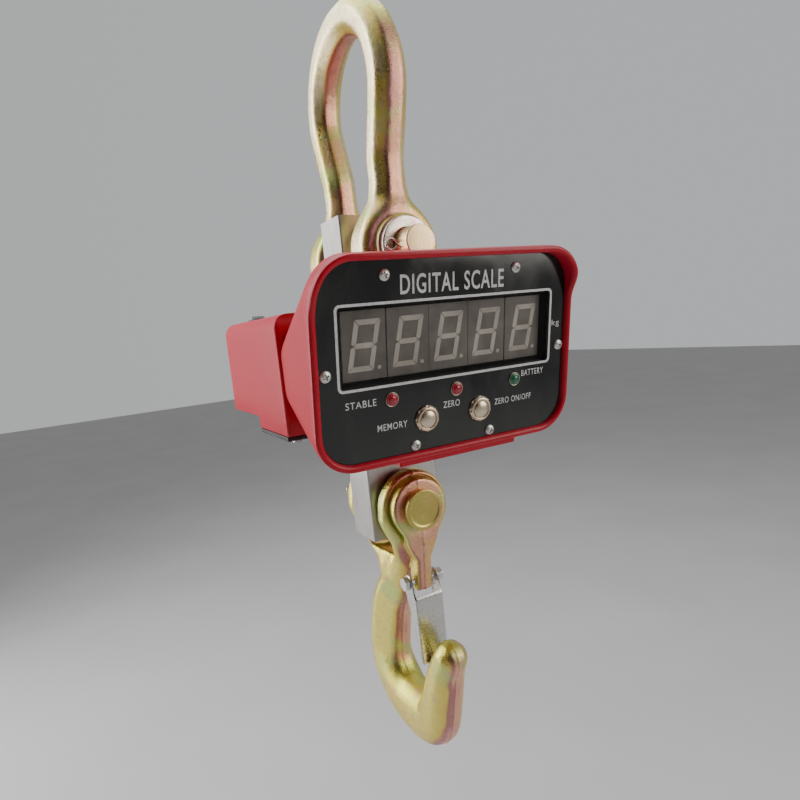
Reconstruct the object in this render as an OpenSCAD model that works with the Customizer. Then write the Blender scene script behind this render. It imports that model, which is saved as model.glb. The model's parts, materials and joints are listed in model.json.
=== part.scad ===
// Hanging crane scale: bow shackle, load cell, display housing and clevis hook with a safety latch.
// The origin is the hanging point, on the inside of the shackle's crown. The display faces -Y, +Z is up.

/* [Load line] */
// Hanging point to the axis of the shackle pin
shackle_drop = 154; // [150:1:170]
// Distance between the two pin axes
pin_spacing = 187; // [184:1:192]
// Diameter of both pins
pin_d = 22; // [20:0.5:23]
// Radial clearance of a pin in its holes
pin_clearance = 0.06; // [0.03:0.01:0.1]

/* [Shackle] */
// Diameter of the bow across flats
bow_d = 25; // [22:0.5:25]
// Radius of the crown along the bow's centre line
crown_r = 54; // [52:0.5:56]
// Distance from the load line to each straight leg
leg_y = 39.5; // [39:0.5:41]
// Radius of the shackle's eyes
shackle_eye_r = 30; // [28:0.5:31]

/* [Load cell] */
// Width of the load cell
cell_w = 59; // [56:1:60]
// Thickness of the load cell
cell_t = 35; // [34:0.5:36]
// Length of the load cell
cell_l = 240; // [238:1:244]

/* [Hook] */
// Radius of the fork's eyes
fork_eye_r = 27.5; // [26:0.5:30]

/* [Housing] */
// Width of the display bezel
bezel_w = 190; // [188:1:194]
// Height of the display bezel
bezel_h = 127; // [126:0.5:130]
// Width of the rear housing
rear_w = 180; // [176:1:182]
// Angle of the display, facing down
display_tilt = 9.4; // [8:0.2:11]
// Wall thickness of both housings
wall = 3.5; // [3:0.5:4]

/* [Display] */
// Width of one digit module
digit_w = 29; // [28:0.5:29.5]
// Height of one digit module
digit_h = 41.5; // [40:0.5:43]
// Distance of the digits behind the panel's face
digit_recess = 6; // [5.5:0.5:8]

/* [Motion] */
// Travel of the two push buttons
button_travel = 1.5; // [1:0.1:2]

/* [Hidden] */
$fn = 64;
e = 0.1;

upper_pin_z = -shackle_drop;
lower_pin_z = upper_pin_z - pin_spacing;
bore_r = pin_d / 2 + pin_clearance;
cell_top = upper_pin_z + 28.5;
cell_bottom = cell_top - cell_l;

// Colours
zinc_gold = "#b9a561";
nickel = "#a9a59c";
bright_zinc = "#c9ccd0";
housing_red = "#c8353f";
panel_black = "#17181a";
rubber_black = "#1c1c1c";
board_green = "#1f6b3a";

// ---- shared shapes ----

// Puts its children on a Y axis at height z, starting at y0 and running to the back
module along_y(y0, z) {
    translate([0, y0, z]) rotate([-90, 0, 0]) children();
}

// Rounded rectangle of w by h with corner radius r
module rounded_rect(w, h, r) {
    hull() {
        for (sx = [-1, 1], sy = [-1, 1]) {
            translate([sx * (w / 2 - r), sy * (h / 2 - r)]) circle(r, $fn = 48);
        }
    }
}

// Upright rounded plate in the X-Z plane, t thick, with its front face at y = 0
module upright_plate(w, h, r, t) {
    rotate([90, 0, 0]) translate([0, 0, -t]) linear_extrude(t) rounded_rect(w, h, r);
}

// Split pin with a round eye, its legs along -Z
module cotter(wire_d, leg_l, eye_r) {
    rotate([90, 0, 0]) rotate_extrude() translate([eye_r, 0]) circle(wire_d / 2, $fn = 16);
    for (s = [-1, 1]) {
        translate([s * wire_d * 0.51, 0, -leg_l - eye_r]) cylinder(h = leg_l + wire_d * 0.4, d = wire_d, $fn = 16);
    }
}

// ---- swept shapes ----

// Smooth line through points, with steps pieces between neighbours
function catmull(p0, p1, p2, p3, t) =
    0.5 * (2 * p1 + (p2 - p0) * t + (2 * p0 - 5 * p1 + 4 * p2 - p3) * t * t + (3 * p1 - p0 - 3 * p2 + p3) * t * t * t);
function smooth_line(pts, steps) = [
    for (i = [0:len(pts) - 2], k = [0:steps - 1])
        catmull(pts[max(i - 1, 0)], pts[i], pts[i + 1], pts[min(i + 2, len(pts) - 1)], k / steps),
    pts[len(pts) - 1]
];
// Ring of points round a station [y, z, half depth, half width] whose centre line runs along d in the Y-Z plane
function station_ring(q, d, sides) = let (n = d / norm(d), k = 1 / cos(180 / sides)) [
    for (j = [0:sides - 1]) let (a = 360 * (j + 0.5) / sides)
        [k * q[3] * sin(a), q[0] + k * q[2] * cos(a) * n[1], q[1] - k * q[2] * cos(a) * n[0]]
];
// Faces of a closed tube made of n rings of the given number of sides
function tube_faces(n, sides) = concat(
    [[for (j = [sides - 1:-1:0]) j]],
    [for (i = [0:n - 2], j = [0:sides - 1]) let (k = (j + 1) % sides)
        [i * sides + j, i * sides + k, (i + 1) * sides + k, (i + 1) * sides + j]],
    [[for (j = [0:sides - 1]) (n - 1) * sides + j]]
);

// Solid bar along stations [y, z, half depth, half width]
module swept_bar(line, sides) {
    last = len(line) - 1;
    points = [
        for (i = [0:last]) let (p = line[min(i + 1, last)] - line[max(i - 1, 0)])
            each station_ring(line[i], [p[0], p[1]], sides)
    ];
    polyhedron(points, tube_faces(last + 1, sides));
}

// ---- shackle ----

crown_z = -crown_r + bow_d / 2;
bar = bow_d / 2;
// One leg of the bow from its eye up to the crown: [y, height over the pin, half depth, half width]
bow_leg = [
    [leg_y, 12, bar + 1, 20],
    [leg_y, 30, bar + 1, 17],
    [leg_y, 46, bar, bar + 0.5],
    [leg_y + 0.8, 61, bar, bar],
    [leg_y + 3.8, 72, bar, bar],
    [leg_y + 7.2, 83, bar, bar],
    [leg_y + 11, 95, bar, bar],
    [crown_r - 0.8, 105, bar, bar]
];
bow_line = concat(
    [for (p = bow_leg) [-p[0], upper_pin_z + p[1], p[2], p[3]]],
    [for (a = [180:-12:0]) [crown_r * cos(a), crown_z + crown_r * sin(a), bar, bar]],
    [for (i = [len(bow_leg) - 1:-1:0]) let (p = bow_leg[i]) [p[0], upper_pin_z + p[1], p[2], p[3]]]
);
shackle_eye_in = 28;
shackle_spacer_in = 20;
shackle_spacer_r = 20;
shackle_eye_out = 53;
shackle_boss_out = 57;
shackle_boss_r = 21;
shackle_washer_t = 4;

// Disc with rounded outer edges, on a Y axis, from y0 to y0 + t
module eye_disc(r, y0, t, edge_r, z) {
    along_y(y0, z) rotate_extrude() polygon([
        [0, 0],
        for (a = [-90:22.5:0]) [r - edge_r + edge_r * cos(a), edge_r + edge_r * sin(a)],
        for (a = [0:22.5:90]) [r - edge_r + edge_r * cos(a), t - edge_r + edge_r * sin(a)],
        [0, t]
    ]);
}

module shackle() {
    color(zinc_gold) difference() {
        union() {
            swept_bar(smooth_line(bow_line, 2), 8);
            for (s = [-1, 1]) {
                eye_disc(shackle_eye_r, s > 0 ? shackle_eye_in : -shackle_eye_out, shackle_eye_out - shackle_eye_in, 7, upper_pin_z);
                along_y(s > 0 ? shackle_spacer_in : -shackle_eye_in - 1, upper_pin_z)
                    cylinder(h = shackle_eye_in - shackle_spacer_in + 1, r = shackle_spacer_r);
                along_y(s > 0 ? shackle_eye_out - 4 : -shackle_boss_out, upper_pin_z) cylinder(h = 8, r = shackle_boss_r);
            }
        }
        along_y(-80, upper_pin_z) cylinder(h = 160, r = bore_r);
    }
}

pin_head_d = 30;
pin_head_t = 6;
shackle_pin_front = -77;
cotter_wire = 3;
cotter_eye = 3.6;
cotter_hole_d = 3.4;
shackle_cotter_y = -66;

module shackle_pin() {
    color(zinc_gold) difference() {
        union() {
            along_y(shackle_pin_front, upper_pin_z) cylinder(h = shackle_boss_out - shackle_pin_front + 1, d = pin_d);
            along_y(shackle_boss_out, upper_pin_z) cylinder(h = pin_head_t, d = pin_head_d);
        }
        translate([-20, shackle_cotter_y, upper_pin_z]) rotate([0, 90, 0]) cylinder(h = 40, d = cotter_hole_d, $fn = 24);
    }
}

// Flat washer round a pin, t thick, with its front face at y0
module pin_washer(y0, z, t) {
    color(zinc_gold) along_y(y0, z) difference() {
        cylinder(h = t, r = 19.5);
        translate([0, 0, -e]) cylinder(h = t + 2 * e, r = pin_d / 2 + 0.5);
    }
}

module shackle_washer() {
    pin_washer(-shackle_boss_out - shackle_washer_t, upper_pin_z, shackle_washer_t);
}

// Split pin through a load pin at (y, z), with its eye on the left
module pin_cotter(y, z) {
    color(bright_zinc) translate([-pin_d / 2 - cotter_eye - 1.4, y, z]) rotate([0, -90, 0]) rotate([0, 0, 90])
        cotter(cotter_wire / 2, 36, cotter_eye);
}

module shackle_cotter() {
    pin_cotter(shackle_cotter_y, upper_pin_z);
}

// ---- load cell ----

cell_mid = (cell_top + cell_bottom) / 2;
gauge_r = 13;
gauge_depth = 9;
cover_t = 1.5;
cell_chamfer = 0.8;
bracket_hole_z = [cell_mid - 12, cell_mid + 12];

module load_cell() {
    color(nickel) difference() {
        translate([0, 0, cell_bottom]) linear_extrude(cell_l) polygon([
            for (s = [[1, 1], [-1, 1], [-1, -1], [1, -1]], k = s[0] * s[1] > 0 ? [0, 1] : [1, 0])
                [s[0] * (cell_w / 2 - (k == 0 ? 0 : cell_chamfer)), s[1] * (cell_t / 2 - (k == 0 ? cell_chamfer : 0))]
        ]);
        for (z = [upper_pin_z, lower_pin_z]) {
            along_y(-cell_t, z) cylinder(h = 2 * cell_t, r = bore_r);
        }
        for (s = [-1, 1]) {
            translate([0, s * cell_t / 2, cell_mid]) rotate([90, 0, 0]) cylinder(h = 2 * gauge_depth, r = gauge_r, center = true);
            for (z = bracket_hole_z) {
                translate([s * cell_w / 2, 0, z]) rotate([0, 90, 0]) cylinder(h = 24, d = 5, center = true, $fn = 24);
            }
        }
    }
}

// Round lids sunk into the mouths of the two gauge pockets
module gauge_covers() {
    color(bright_zinc) for (s = [-1, 1]) {
        translate([0, s * (cell_t / 2 - cover_t / 2 - 0.3), cell_mid]) rotate([90, 0, 0])
            cylinder(h = cover_t, r = gauge_r - 0.05, center = true);
    }
}

// ---- hook ----

fork_in = 20;
fork_out = 34;
fork_boss_out = 40;
fork_boss_r = 22;
lug_y = -30;
lug_z = lower_pin_z - 58;
lug_half = 6.5;
latch_bolt_d = 6;

// Centre line of the hook with its half depth and half width: [y, z, depth, width]
hook_line = [
    for (p = [
        [3, 52, 14.5, 13], [9, 70, 16, 14], [22.5, 91, 17.8, 16], [31, 117, 18.5, 16.8], [35, 141, 19.2, 16.8],
        [28.5, 160.5, 20, 16.4], [12, 173.5, 20, 15.6], [-12, 177, 20.5, 14.8], [-32, 171, 18.8, 14.6],
        [-42, 153.5, 16.3, 14.4], [-49, 134, 14.5, 13.9], [-55.5, 118, 12.8, 13], [-61.5, 107.5, 12, 12],
        [-65.8, 100, 9, 9], [-68.5, 95.5, 3, 3]
    ]) [p[0], lower_pin_z - p[1], p[2], p[3]]
];

module hook() {
    eye_t = fork_out - fork_in;
    color(zinc_gold) difference() {
        union() {
            swept_bar(smooth_line(hook_line, 3), 20);
            for (s = [-1, 1]) {
                eye_disc(fork_eye_r, s > 0 ? fork_in : -fork_out, eye_t, 6, lower_pin_z);
                along_y(s > 0 ? fork_out - 4 : -fork_boss_out, lower_pin_z)
                    cylinder(h = fork_boss_out - fork_out + 4, r = fork_boss_r);
                hull() {
                    along_y(s > 0 ? fork_in + 1 : -fork_out + 1, lower_pin_z - 16) cylinder(h = eye_t - 2, r = 14, $fn = 32);
                    along_y(-4, lower_pin_z - 57) cylinder(h = 8, r = 11, $fn = 32);
                }
            }
            hull() {
                translate([-lug_half, lug_y, lug_z]) rotate([0, 90, 0]) cylinder(h = 2 * lug_half, r = 6, $fn = 32);
                translate([-lug_half, lug_y - 4, lower_pin_z - 38]) cube([2 * lug_half, 12, 4]);
            }
        }
        along_y(-60, lower_pin_z) cylinder(h = 120, r = bore_r);
        translate([-20, lug_y, lug_z]) rotate([0, 90, 0]) cylinder(h = 40, r = latch_bolt_d / 2 + 0.08);
        fork_gap();
    }
}

// Space between the fork's arms, where the load cell swings
module fork_gap() {
    translate([0, 0, lower_pin_z]) rotate([90, 0, 0]) cylinder(h = 2 * fork_in, r = 43, center = true);
}

module hook_pin() {
    head_y = -fork_boss_out - pin_head_t;
    tail_y = 58;
    color(zinc_gold) difference() {
        union() {
            along_y(-fork_boss_out - 1, lower_pin_z) cylinder(h = tail_y + fork_boss_out + 1, d = pin_d);
            along_y(head_y, lower_pin_z) cylinder(h = pin_head_t, d = pin_head_d);
        }
        translate([-20, hook_cotter_y, lower_pin_z]) rotate([0, 90, 0]) cylinder(h = 40, d = cotter_hole_d, $fn = 24);
    }
}

hook_cotter_y = 50;

module hook_washer() {
    pin_washer(fork_boss_out, lower_pin_z, shackle_washer_t);
}

module hook_cotter() {
    pin_cotter(hook_cotter_y, lower_pin_z);
}

// ---- safety latch ----

latch_half = 12.2;
latch_t = 1.5;
latch_top_z = lug_z - 9;
latch_tip_z = lower_pin_z - 119.5;
latch_face_top = -39.5;
latch_face_tip = -40;

// Side view of the latch as [y, z] points: cheek round the bolt, back edge, tip and front face
latch_side = concat(
    [for (a = [20:20:180]) [lug_y + 6.5 * cos(a), lug_z + 6.5 * sin(a)]],
    [[latch_face_top, latch_top_z], [latch_face_tip, latch_tip_z], [latch_face_tip + 3, latch_tip_z],
        [lug_y + 4, lug_z - 24], [lug_y + 7, lug_z - 6]]
);

// Latch outline extruded across X from x0 to x1
module latch_slab(x0, x1) {
    translate([x0, 0, 0]) rotate([90, 0, 90]) linear_extrude(x1 - x0) polygon(latch_side);
}

module latch() {
    color(bright_zinc) difference() {
        latch_slab(-latch_half, latch_half);
        // hollow of the channel, behind the front plate
        translate([0, latch_t, 0]) latch_slab(-latch_half + latch_t, latch_half - latch_t);
        translate([-latch_half + latch_t, lug_y - 20, latch_top_z]) cube([2 * (latch_half - latch_t), 40, 30]);
        translate([-20, lug_y, lug_z]) rotate([0, 90, 0]) cylinder(h = 40, r = latch_bolt_d / 2 + 0.08);
    }
}

module latch_bolt() {
    color(bright_zinc) translate([-latch_half - 0.3, lug_y, lug_z]) rotate([0, 90, 0]) {
        cylinder(h = 2 * latch_half + 6, d = latch_bolt_d);
        translate([0, 0, -3.5]) cylinder(h = 3.5, d = 10.5, $fn = 6);
    }
}

module latch_nut() {
    color(bright_zinc) translate([latch_half + 0.3, lug_y, lug_z]) rotate([0, 90, 0]) difference() {
        cylinder(h = 4, d = 10.5, $fn = 6);
        translate([0, 0, -e]) cylinder(h = 4 + 2 * e, r = latch_bolt_d / 2 + 0.05);
    }
}

// Torsion spring: stacked turns round the bolt beside the lug
module latch_spring() {
    turn_r = latch_bolt_d / 2 + 0.9;
    color(bright_zinc) for (i = [0:1]) {
        translate([lug_half + 0.55 + i * 0.95, lug_y, lug_z]) rotate([0, 90, 0]) rotate_extrude()
            translate([turn_r, 0]) circle(0.45, $fn = 12);
    }
}

// ---- housings ----

// Panel frame: origin at the panel's centre on its front face, Y into the housing, Z up the panel
panel_y = -102.3;
panel_z = upper_pin_z - 74.3;
module panel_frame() {
    translate([0, panel_y, panel_z]) rotate([display_tilt, 0, 0]) children();
}

bezel_up = 0.9;
rim_front = -3;
rim_wall = 4.5;
rim_r = 25;
panel_t = 3;
ledge_back = 6.5;
visor_front = -11;
joint_y = -32;
neck_w = rear_w - 4;
neck_h = 62;
neck_z = upper_pin_z - 77;
screw_spots = [[-47.3, 51.4], [47.3, 51.4], [-86.2, -2.5], [86.2, -2.5], [-28.5, -53.9], [28.5, -53.9]];
joint_screw_spots = [for (sx = [-1, 1], dz = [-12, 12]) [sx * 80, neck_z + dz]];

// Plate in the panel frame, centred z_up above the panel's centre, from depth y0 to y1
module panel_plate(w, h, r, y0, y1, z_up) {
    translate([0, y0, z_up]) upright_plate(w, h, r, y1 - y0);
}

// Undoes panel_frame() for shapes set out upright inside it
module unpanel() {
    rotate([-display_tilt, 0, 0]) translate([0, -panel_y, -panel_z]) children();
}

// Upright rounded plate where the front housing meets the rear one, shrunk by inset
module neck_plate(inset, y0, y1) {
    translate([0, joint_y + y0, neck_z]) upright_plate(neck_w - 2 * inset, neck_h - 2 * inset, 20 - inset, y1 - y0);
}

module front_housing() {
    color(housing_red) panel_frame() difference() {
        union() {
            hull() {
                panel_plate(bezel_w, bezel_h, rim_r, rim_front, 1, bezel_up);
                unpanel() neck_plate(0, -3, 0);
            }
            visor();
            // lip under the bezel
            translate([-45, rim_front, bezel_up - bezel_h / 2 - 2.5]) cube([90, 10, 6]);
        }
        panel_plate(bezel_w - 2 * rim_wall, bezel_h - 2 * rim_wall, rim_r - rim_wall, visor_front - 1, panel_t, bezel_up);
        panel_plate(160, 92, 12, panel_t - e, ledge_back + 1, -2);
        difference() {
            hull() {
                panel_plate(176, 114, 19, ledge_back, ledge_back + 1, bezel_up);
                unpanel() neck_plate(wall, -1, 1);
            }
            unpanel() for (p = joint_screw_spots) {
                along_y(joint_y - 14, 0) translate([p[0], -p[1], 0]) cylinder(h = 20, r = 5.5, $fn = 32);
            }
        }
        unpanel() for (p = joint_screw_spots) {
            along_y(joint_y - 10, 0) translate([p[0], -p[1], 0]) cylinder(h = 12, r = 2.1, $fn = 24);
        }
        for (p = screw_spots) {
            translate([p[0], 0, p[1]]) rotate([-90, 0, 0]) cylinder(h = 12, r = 1.8, $fn = 24);
        }
    }
}

// Hood over the top of the panel, its sides sloping back into the bezel
module visor() {
    top = bezel_up + bezel_h / 2 + 1;
    intersection() {
        difference() {
            panel_plate(bezel_w, bezel_h, rim_r, visor_front, 0, bezel_up);
            panel_plate(bezel_w - 2 * rim_wall, bezel_h - 2 * rim_wall, rim_r - rim_wall, visor_front - 1, 1, bezel_up);
        }
        rotate([90, 0, 90]) translate([0, 0, -bezel_w]) linear_extrude(2 * bezel_w)
            polygon([[0, 30], [rim_front, 30], [visor_front, 50], [visor_front, top], [0, top]]);
    }
}

rear_top = upper_pin_z - 37;
rear_bottom = upper_pin_z - 110;
rear_back = 122;
rear_r = 14;
rear_top_r = 10;
step_back = 34;
step_bottom = upper_pin_z - 118.8;
base_plate_t = 3;
opening_gap = 1;
switch_pos = [-62, 97];
socket_pos = [66, upper_pin_z - 74];

// Rounded box of the rear housing, shrunk by inset
module rear_box(inset) {
    w = rear_w - 2 * inset;
    height = rear_top - rear_bottom - 2 * inset;
    front = joint_y + inset;
    depth = rear_back - joint_y - 2 * inset;
    intersection() {
        translate([0, front + depth / 2 - rear_r, rear_bottom + inset]) linear_extrude(height)
            rounded_rect(w, depth + 2 * rear_r, rear_r - inset);
        translate([0, front, rear_bottom + height / 2 + inset]) upright_plate(w, height, rear_top_r - inset, depth);
        rotate([90, 0, 90]) translate([front + depth / 2 - rear_r, rear_bottom + height / 2 + inset, -w / 2]) linear_extrude(w)
            rounded_rect(depth + 2 * rear_r, height, rear_top_r - inset);
    }
}

// Deeper middle part of the rear housing, round the load cell
module rear_step(inset) {
    translate([-rear_w / 2 + inset, joint_y + inset, step_bottom + inset])
        cube([rear_w - 2 * inset, step_back - joint_y - 2 * inset, 30]);
}

// Rectangular hole for the load cell
module cell_opening(z, h) {
    w = cell_w + 2 * opening_gap;
    t = cell_t + 2 * opening_gap;
    translate([-w / 2, -t / 2, z]) cube([w, t, h]);
}

module rear_housing() {
    color(housing_red) difference() {
        union() {
            rear_box(0);
            rear_step(0);
        }
        rear_box(wall);
        rear_step(wall);
        translate([-75, joint_y - 1, neck_z - 25]) cube([150, wall + 2, 50]);
        cell_opening(step_bottom - 20, 150);
        translate([switch_pos[0] - 6.7, switch_pos[1] - 9.7, rear_top - 6]) cube([13.4, 19.4, 12]);
        along_y(rear_back - 10, 0) translate([socket_pos[0], -socket_pos[1], 0]) cylinder(h = 20, r = 5.6);
        for (p = joint_screw_spots) {
            along_y(joint_y - 1, 0) translate([p[0], -p[1], 0]) cylinder(h = 8, r = 2.1, $fn = 24);
        }
        for (p = base_screw_spots) {
            translate([p[0], p[1], step_bottom - 1]) cylinder(h = 8, r = 2.1, $fn = 24);
        }
    }
}

base_screw_spots = [for (sx = [-1, 1], sy = [-1, 1]) each [[sx * 43, sy * 9], [sx * 80, sy * 22]]];

// Rubber collar between the rear housing and the load cell
module top_gasket() {
    w = cell_w + 14;
    t = cell_t + 14;
    color(rubber_black) difference() {
        union() {
            translate([-w / 2, -t / 2, rear_top]) cube([w, t, 3]);
            translate([-cell_w / 2 - 0.9, -cell_t / 2 - 0.9, rear_top - wall]) cube([cell_w + 1.8, cell_t + 1.8, wall + 1]);
        }
        translate([-cell_w / 2 - 0.05, -cell_t / 2 - 0.05, rear_top - 10]) cube([cell_w + 0.1, cell_t + 0.1, 20]);
    }
}

// Black plate under the deeper part of the rear housing
module base_plate() {
    color(rubber_black) difference() {
        translate([-rear_w / 2, -31, step_bottom - base_plate_t]) cube([rear_w, step_back + 31, base_plate_t]);
        cell_opening(step_bottom - 20, 40);
        for (p = base_screw_spots) {
            translate([p[0], p[1], step_bottom - 20]) cylinder(h = 30, r = 2.1, $fn = 24);
        }
    }
}

// Pan-head screw along +Z: head below z = 0, shank above it
module pan_screw(head_d, head_h, shank_d, shank_l) {
    difference() {
        union() {
            translate([0, 0, -head_h]) cylinder(h = head_h, d = head_d, $fn = 32);
            cylinder(h = shank_l, d = shank_d, $fn = 24);
        }
        for (a = [0, 90]) {
            rotate(a) translate([-head_d * 0.3, -0.5, -head_h - e]) cube([head_d * 0.6, 1, head_h * 0.55]);
        }
    }
}

module base_screws() {
    color(bright_zinc) for (p = base_screw_spots) {
        translate([p[0], p[1], step_bottom - base_plate_t]) pan_screw(8, 2, 4, base_plate_t + wall + 3);
    }
}

module housing_screws() {
    color(bright_zinc) for (p = joint_screw_spots) {
        translate([p[0], joint_y + wall, p[1]]) rotate([90, 0, 0]) pan_screw(8, 2.4, 4, wall + 9);
    }
}

// ---- load cell brackets ----

bracket_t = 3;
floor_z = step_bottom + wall;

// Steel angle from the side of the load cell to the housing's floor, on side s
module cell_bracket(s) {
    color(bright_zinc) mirror([s > 0 ? 0 : 1, 0, 0]) difference() {
        union() {
            translate([cell_w / 2, -15, floor_z]) cube([bracket_t, 30, 52]);
            translate([cell_w / 2, -15, floor_z]) cube([24, 30, bracket_t]);
        }
        for (z = bracket_hole_z) {
            translate([cell_w / 2 - 1, 0, z]) rotate([0, 90, 0]) cylinder(h = 6, r = 2.7, $fn = 24);
        }
        for (sy = [-1, 1]) {
            translate([43, sy * 9, floor_z - 1]) cylinder(h = 6, r = 2.1, $fn = 24);
        }
    }
}

module cell_bracket_left() {
    cell_bracket(-1);
}

module cell_bracket_right() {
    cell_bracket(1);
}

module bracket_screws() {
    color(bright_zinc) for (s = [-1, 1], z = bracket_hole_z) {
        translate([s * (cell_w / 2 + bracket_t), 0, z]) rotate([0, s * -90, 0]) pan_screw(9, 3, 4.9, 12);
    }
}

// ---- display panel ----

frame_w = 156;
frame_h = 50.4;
frame_line = 1.6;
frame_up = 11.35;
led_x = [-44.5, 2, 48.5];
led_up = -21.7;
button_x = [-20.2, 20.2];
button_up = -37.7;
button_r = 7.9;

module front_panel() {
    gap = 0.2;
    color(panel_black) panel_frame() difference() {
        panel_plate(bezel_w - 2 * rim_wall - 2 * gap, bezel_h - 2 * rim_wall - 2 * gap, rim_r - rim_wall, 0, panel_t, bezel_up);
        panel_plate(frame_w - 2 * frame_line, frame_h - 2 * frame_line, 2, -1, panel_t + 1, frame_up);
        for (p = screw_spots) {
            translate([p[0], -1, p[1]]) rotate([-90, 0, 0]) cylinder(h = 6, r = 1.8, $fn = 24);
        }
        for (x = led_x) {
            translate([x, -1, led_up]) rotate([-90, 0, 0]) cylinder(h = 6, r = 3.6, $fn = 32);
        }
        for (x = button_x) {
            translate([x, -1, button_up]) rotate([-90, 0, 0]) cylinder(h = 6, r = button_r + 0.1);
        }
    }
}

// Clear pane inside the printed frame
module window() {
    gap = 0.1;
    color("#6f6a66", 0.4) panel_frame()
        panel_plate(frame_w - 2 * frame_line - 2 * gap, frame_h - 2 * frame_line - 2 * gap, 2, 0, 2, frame_up);
}

module panel_screws() {
    color(bright_zinc) panel_frame() for (p = screw_spots) {
        translate([p[0], 0, p[1]]) rotate([-90, 0, 0]) pan_screw(7.2, 2, 3.5, 10);
    }
}

digit_t = 9;
segment_w = 3;
board_depth = digit_recess + digit_t;

// Seven-segment module number i, its face divided by shallow grooves round the segments
module digit(i) {
    color("#8b8783") panel_frame() translate([(i - 3) * digit_w, digit_recess, frame_up]) {
        difference() {
            translate([-digit_w / 2 + 0.05, 0, -digit_h / 2]) cube([digit_w - 0.1, digit_t, digit_h]);
            rotate([90, 0, 0]) translate([0, 0, -0.4]) linear_extrude(1) difference() {
                digit_outline(0.5);
                digit_segments();
            }
        }
    }
}

digit_slant = 10;
digit_tall = 30.5;
digit_wide = 16.5;

// The slanted figure-of-eight of a digit, grown by g
module digit_outline(g) {
    multmatrix([[1, tan(digit_slant), 0, 0], [0, 1, 0, 0], [0, 0, 1, 0]]) difference() {
        square([digit_wide + 2 * g, digit_tall + 2 * g], center = true);
        for (s = [-1, 1]) {
            translate([0, s * (digit_tall - segment_w) / 4])
                square([digit_wide - 2 * segment_w - 2 * g, (digit_tall - 3 * segment_w) / 2 - 2 * g], center = true);
        }
    }
}

module digit_segments() {
    half_h = digit_tall / 2 - segment_w / 2;
    half_w = digit_wide / 2 - segment_w / 2;
    multmatrix([[1, tan(digit_slant), 0, 0], [0, 1, 0, 0], [0, 0, 1, 0]]) {
        for (y = [-half_h, 0, half_h]) {
            translate([0, y]) bar(digit_wide - 2);
        }
        for (x = [-half_w, half_w], y = [-half_h / 2, half_h / 2]) {
            translate([x, y]) rotate(90) bar(half_h - 0.4);
        }
    }
}

// One segment of length l with pointed ends
module bar(l) {
    h = segment_w / 2;
    polygon([[-l / 2, 0], [-l / 2 + h, h], [l / 2 - h, h], [l / 2, 0], [l / 2 - h, -h], [-l / 2 + h, -h]]);
}

module digit_1() { digit(1); }
module digit_2() { digit(2); }
module digit_3() { digit(3); }
module digit_4() { digit(4); }
module digit_5() { digit(5); }

standoff_spots = [for (sx = [-1, 1], z = [-25, 38]) [sx * 72, z]];
board_t = 1.6;

module display_board() {
    color(board_green) panel_frame() {
        translate([-76, board_depth, -29]) cube([152, board_t, 70.5]);
        for (x = [-50, 0, 50]) {
            translate([x - 8, board_depth + board_t, 0]) cube([16, 2, 6]);
        }
    }
}

module display_standoffs() {
    color(nickel) panel_frame() for (p = standoff_spots) {
        translate([p[0], panel_t, p[1]]) rotate([-90, 0, 0]) cylinder(h = board_depth - panel_t, d = 5, $fn = 24);
    }
}

// Clip rings that hold the three lamps in the panel
module led_holders() {
    color("#b8b4b0") panel_frame() for (x = led_x) {
        translate([x, 0, led_up]) rotate([-90, 0, 0]) difference() {
            union() {
                translate([0, 0, -1]) cylinder(h = 1, r = 4.4);
                cylinder(h = 6, r = 3.55);
            }
            translate([0, 0, -2]) cylinder(h = 10, r = 2.6);
        }
    }
}

// Domed 5 mm lamp number i with its two legs
module led(i, tint) {
    color(tint) panel_frame() translate([led_x[i], 0, led_up]) rotate([-90, 0, 0]) {
        translate([0, 0, 0.2]) sphere(2.5, $fn = 32);
        translate([0, 0, 0.2]) cylinder(h = 7.5, r = 2.5);
        for (s = [-1, 1]) {
            translate([s * 1.3, 0, 7]) cylinder(h = board_depth - 7, d = 0.6, $fn = 16);
        }
    }
}

module steady_led() { led(0, "#a3182a"); }
module tare_led() { led(1, "#a3182a"); }
module charge_led() { led(2, "#135c38"); }

cap_r = 5.75;
cap_front = -3.8;
cap_back = 2.2;

// Metal push switch number i: ring, barrel and terminals
module push_switch(i) {
    color(nickel) panel_frame() translate([button_x[i], 0, button_up]) rotate([-90, 0, 0]) {
        difference() {
            union() {
                translate([0, 0, -2.5]) cylinder(h = 2.5, r = 8.5);
                cylinder(h = 20, r = button_r);
            }
            translate([0, 0, -3]) cylinder(h = 3 + cap_back + button_travel + 0.5, r = cap_r + 0.08);
        }
        for (s = [-1, 1]) {
            translate([s * 3 - 0.4, -1.5, 20]) cube([0.8, 3, 5]);
        }
    }
}

// Domed cap of switch number i
module push_cap(i) {
    dome_r = 14;
    color(bright_zinc) panel_frame() translate([button_x[i], 0, button_up]) rotate([-90, 0, 0]) intersection() {
        translate([0, 0, cap_front]) cylinder(h = cap_back - cap_front, r = cap_r);
        translate([0, 0, cap_front + dome_r]) sphere(dome_r);
    }
}

module recall_switch() { push_switch(0); }
module recall_cap() { push_cap(0); }
module tare_switch() { push_switch(1); }
module tare_cap() { push_cap(1); }

module button_nuts() {
    color(bright_zinc) panel_frame() for (x = button_x) {
        translate([x, panel_t, button_up]) rotate([-90, 0, 0]) difference() {
            cylinder(h = 3, r = 10.4, $fn = 6);
            translate([0, 0, -e]) cylinder(h = 3 + 2 * e, r = button_r + 0.05);
        }
    }
}

// ---- electronics in the rear housing ----

side_wall_x = rear_w / 2 - wall;
main_board_x = -side_wall_x + 8;
main_board_y = [-10, 68];
main_board_z = [rear_top - 64, rear_top - 14];
post_spots = [for (y = [-5, 63], z = [rear_top - 59, rear_top - 19]) [y, z]];

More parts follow.
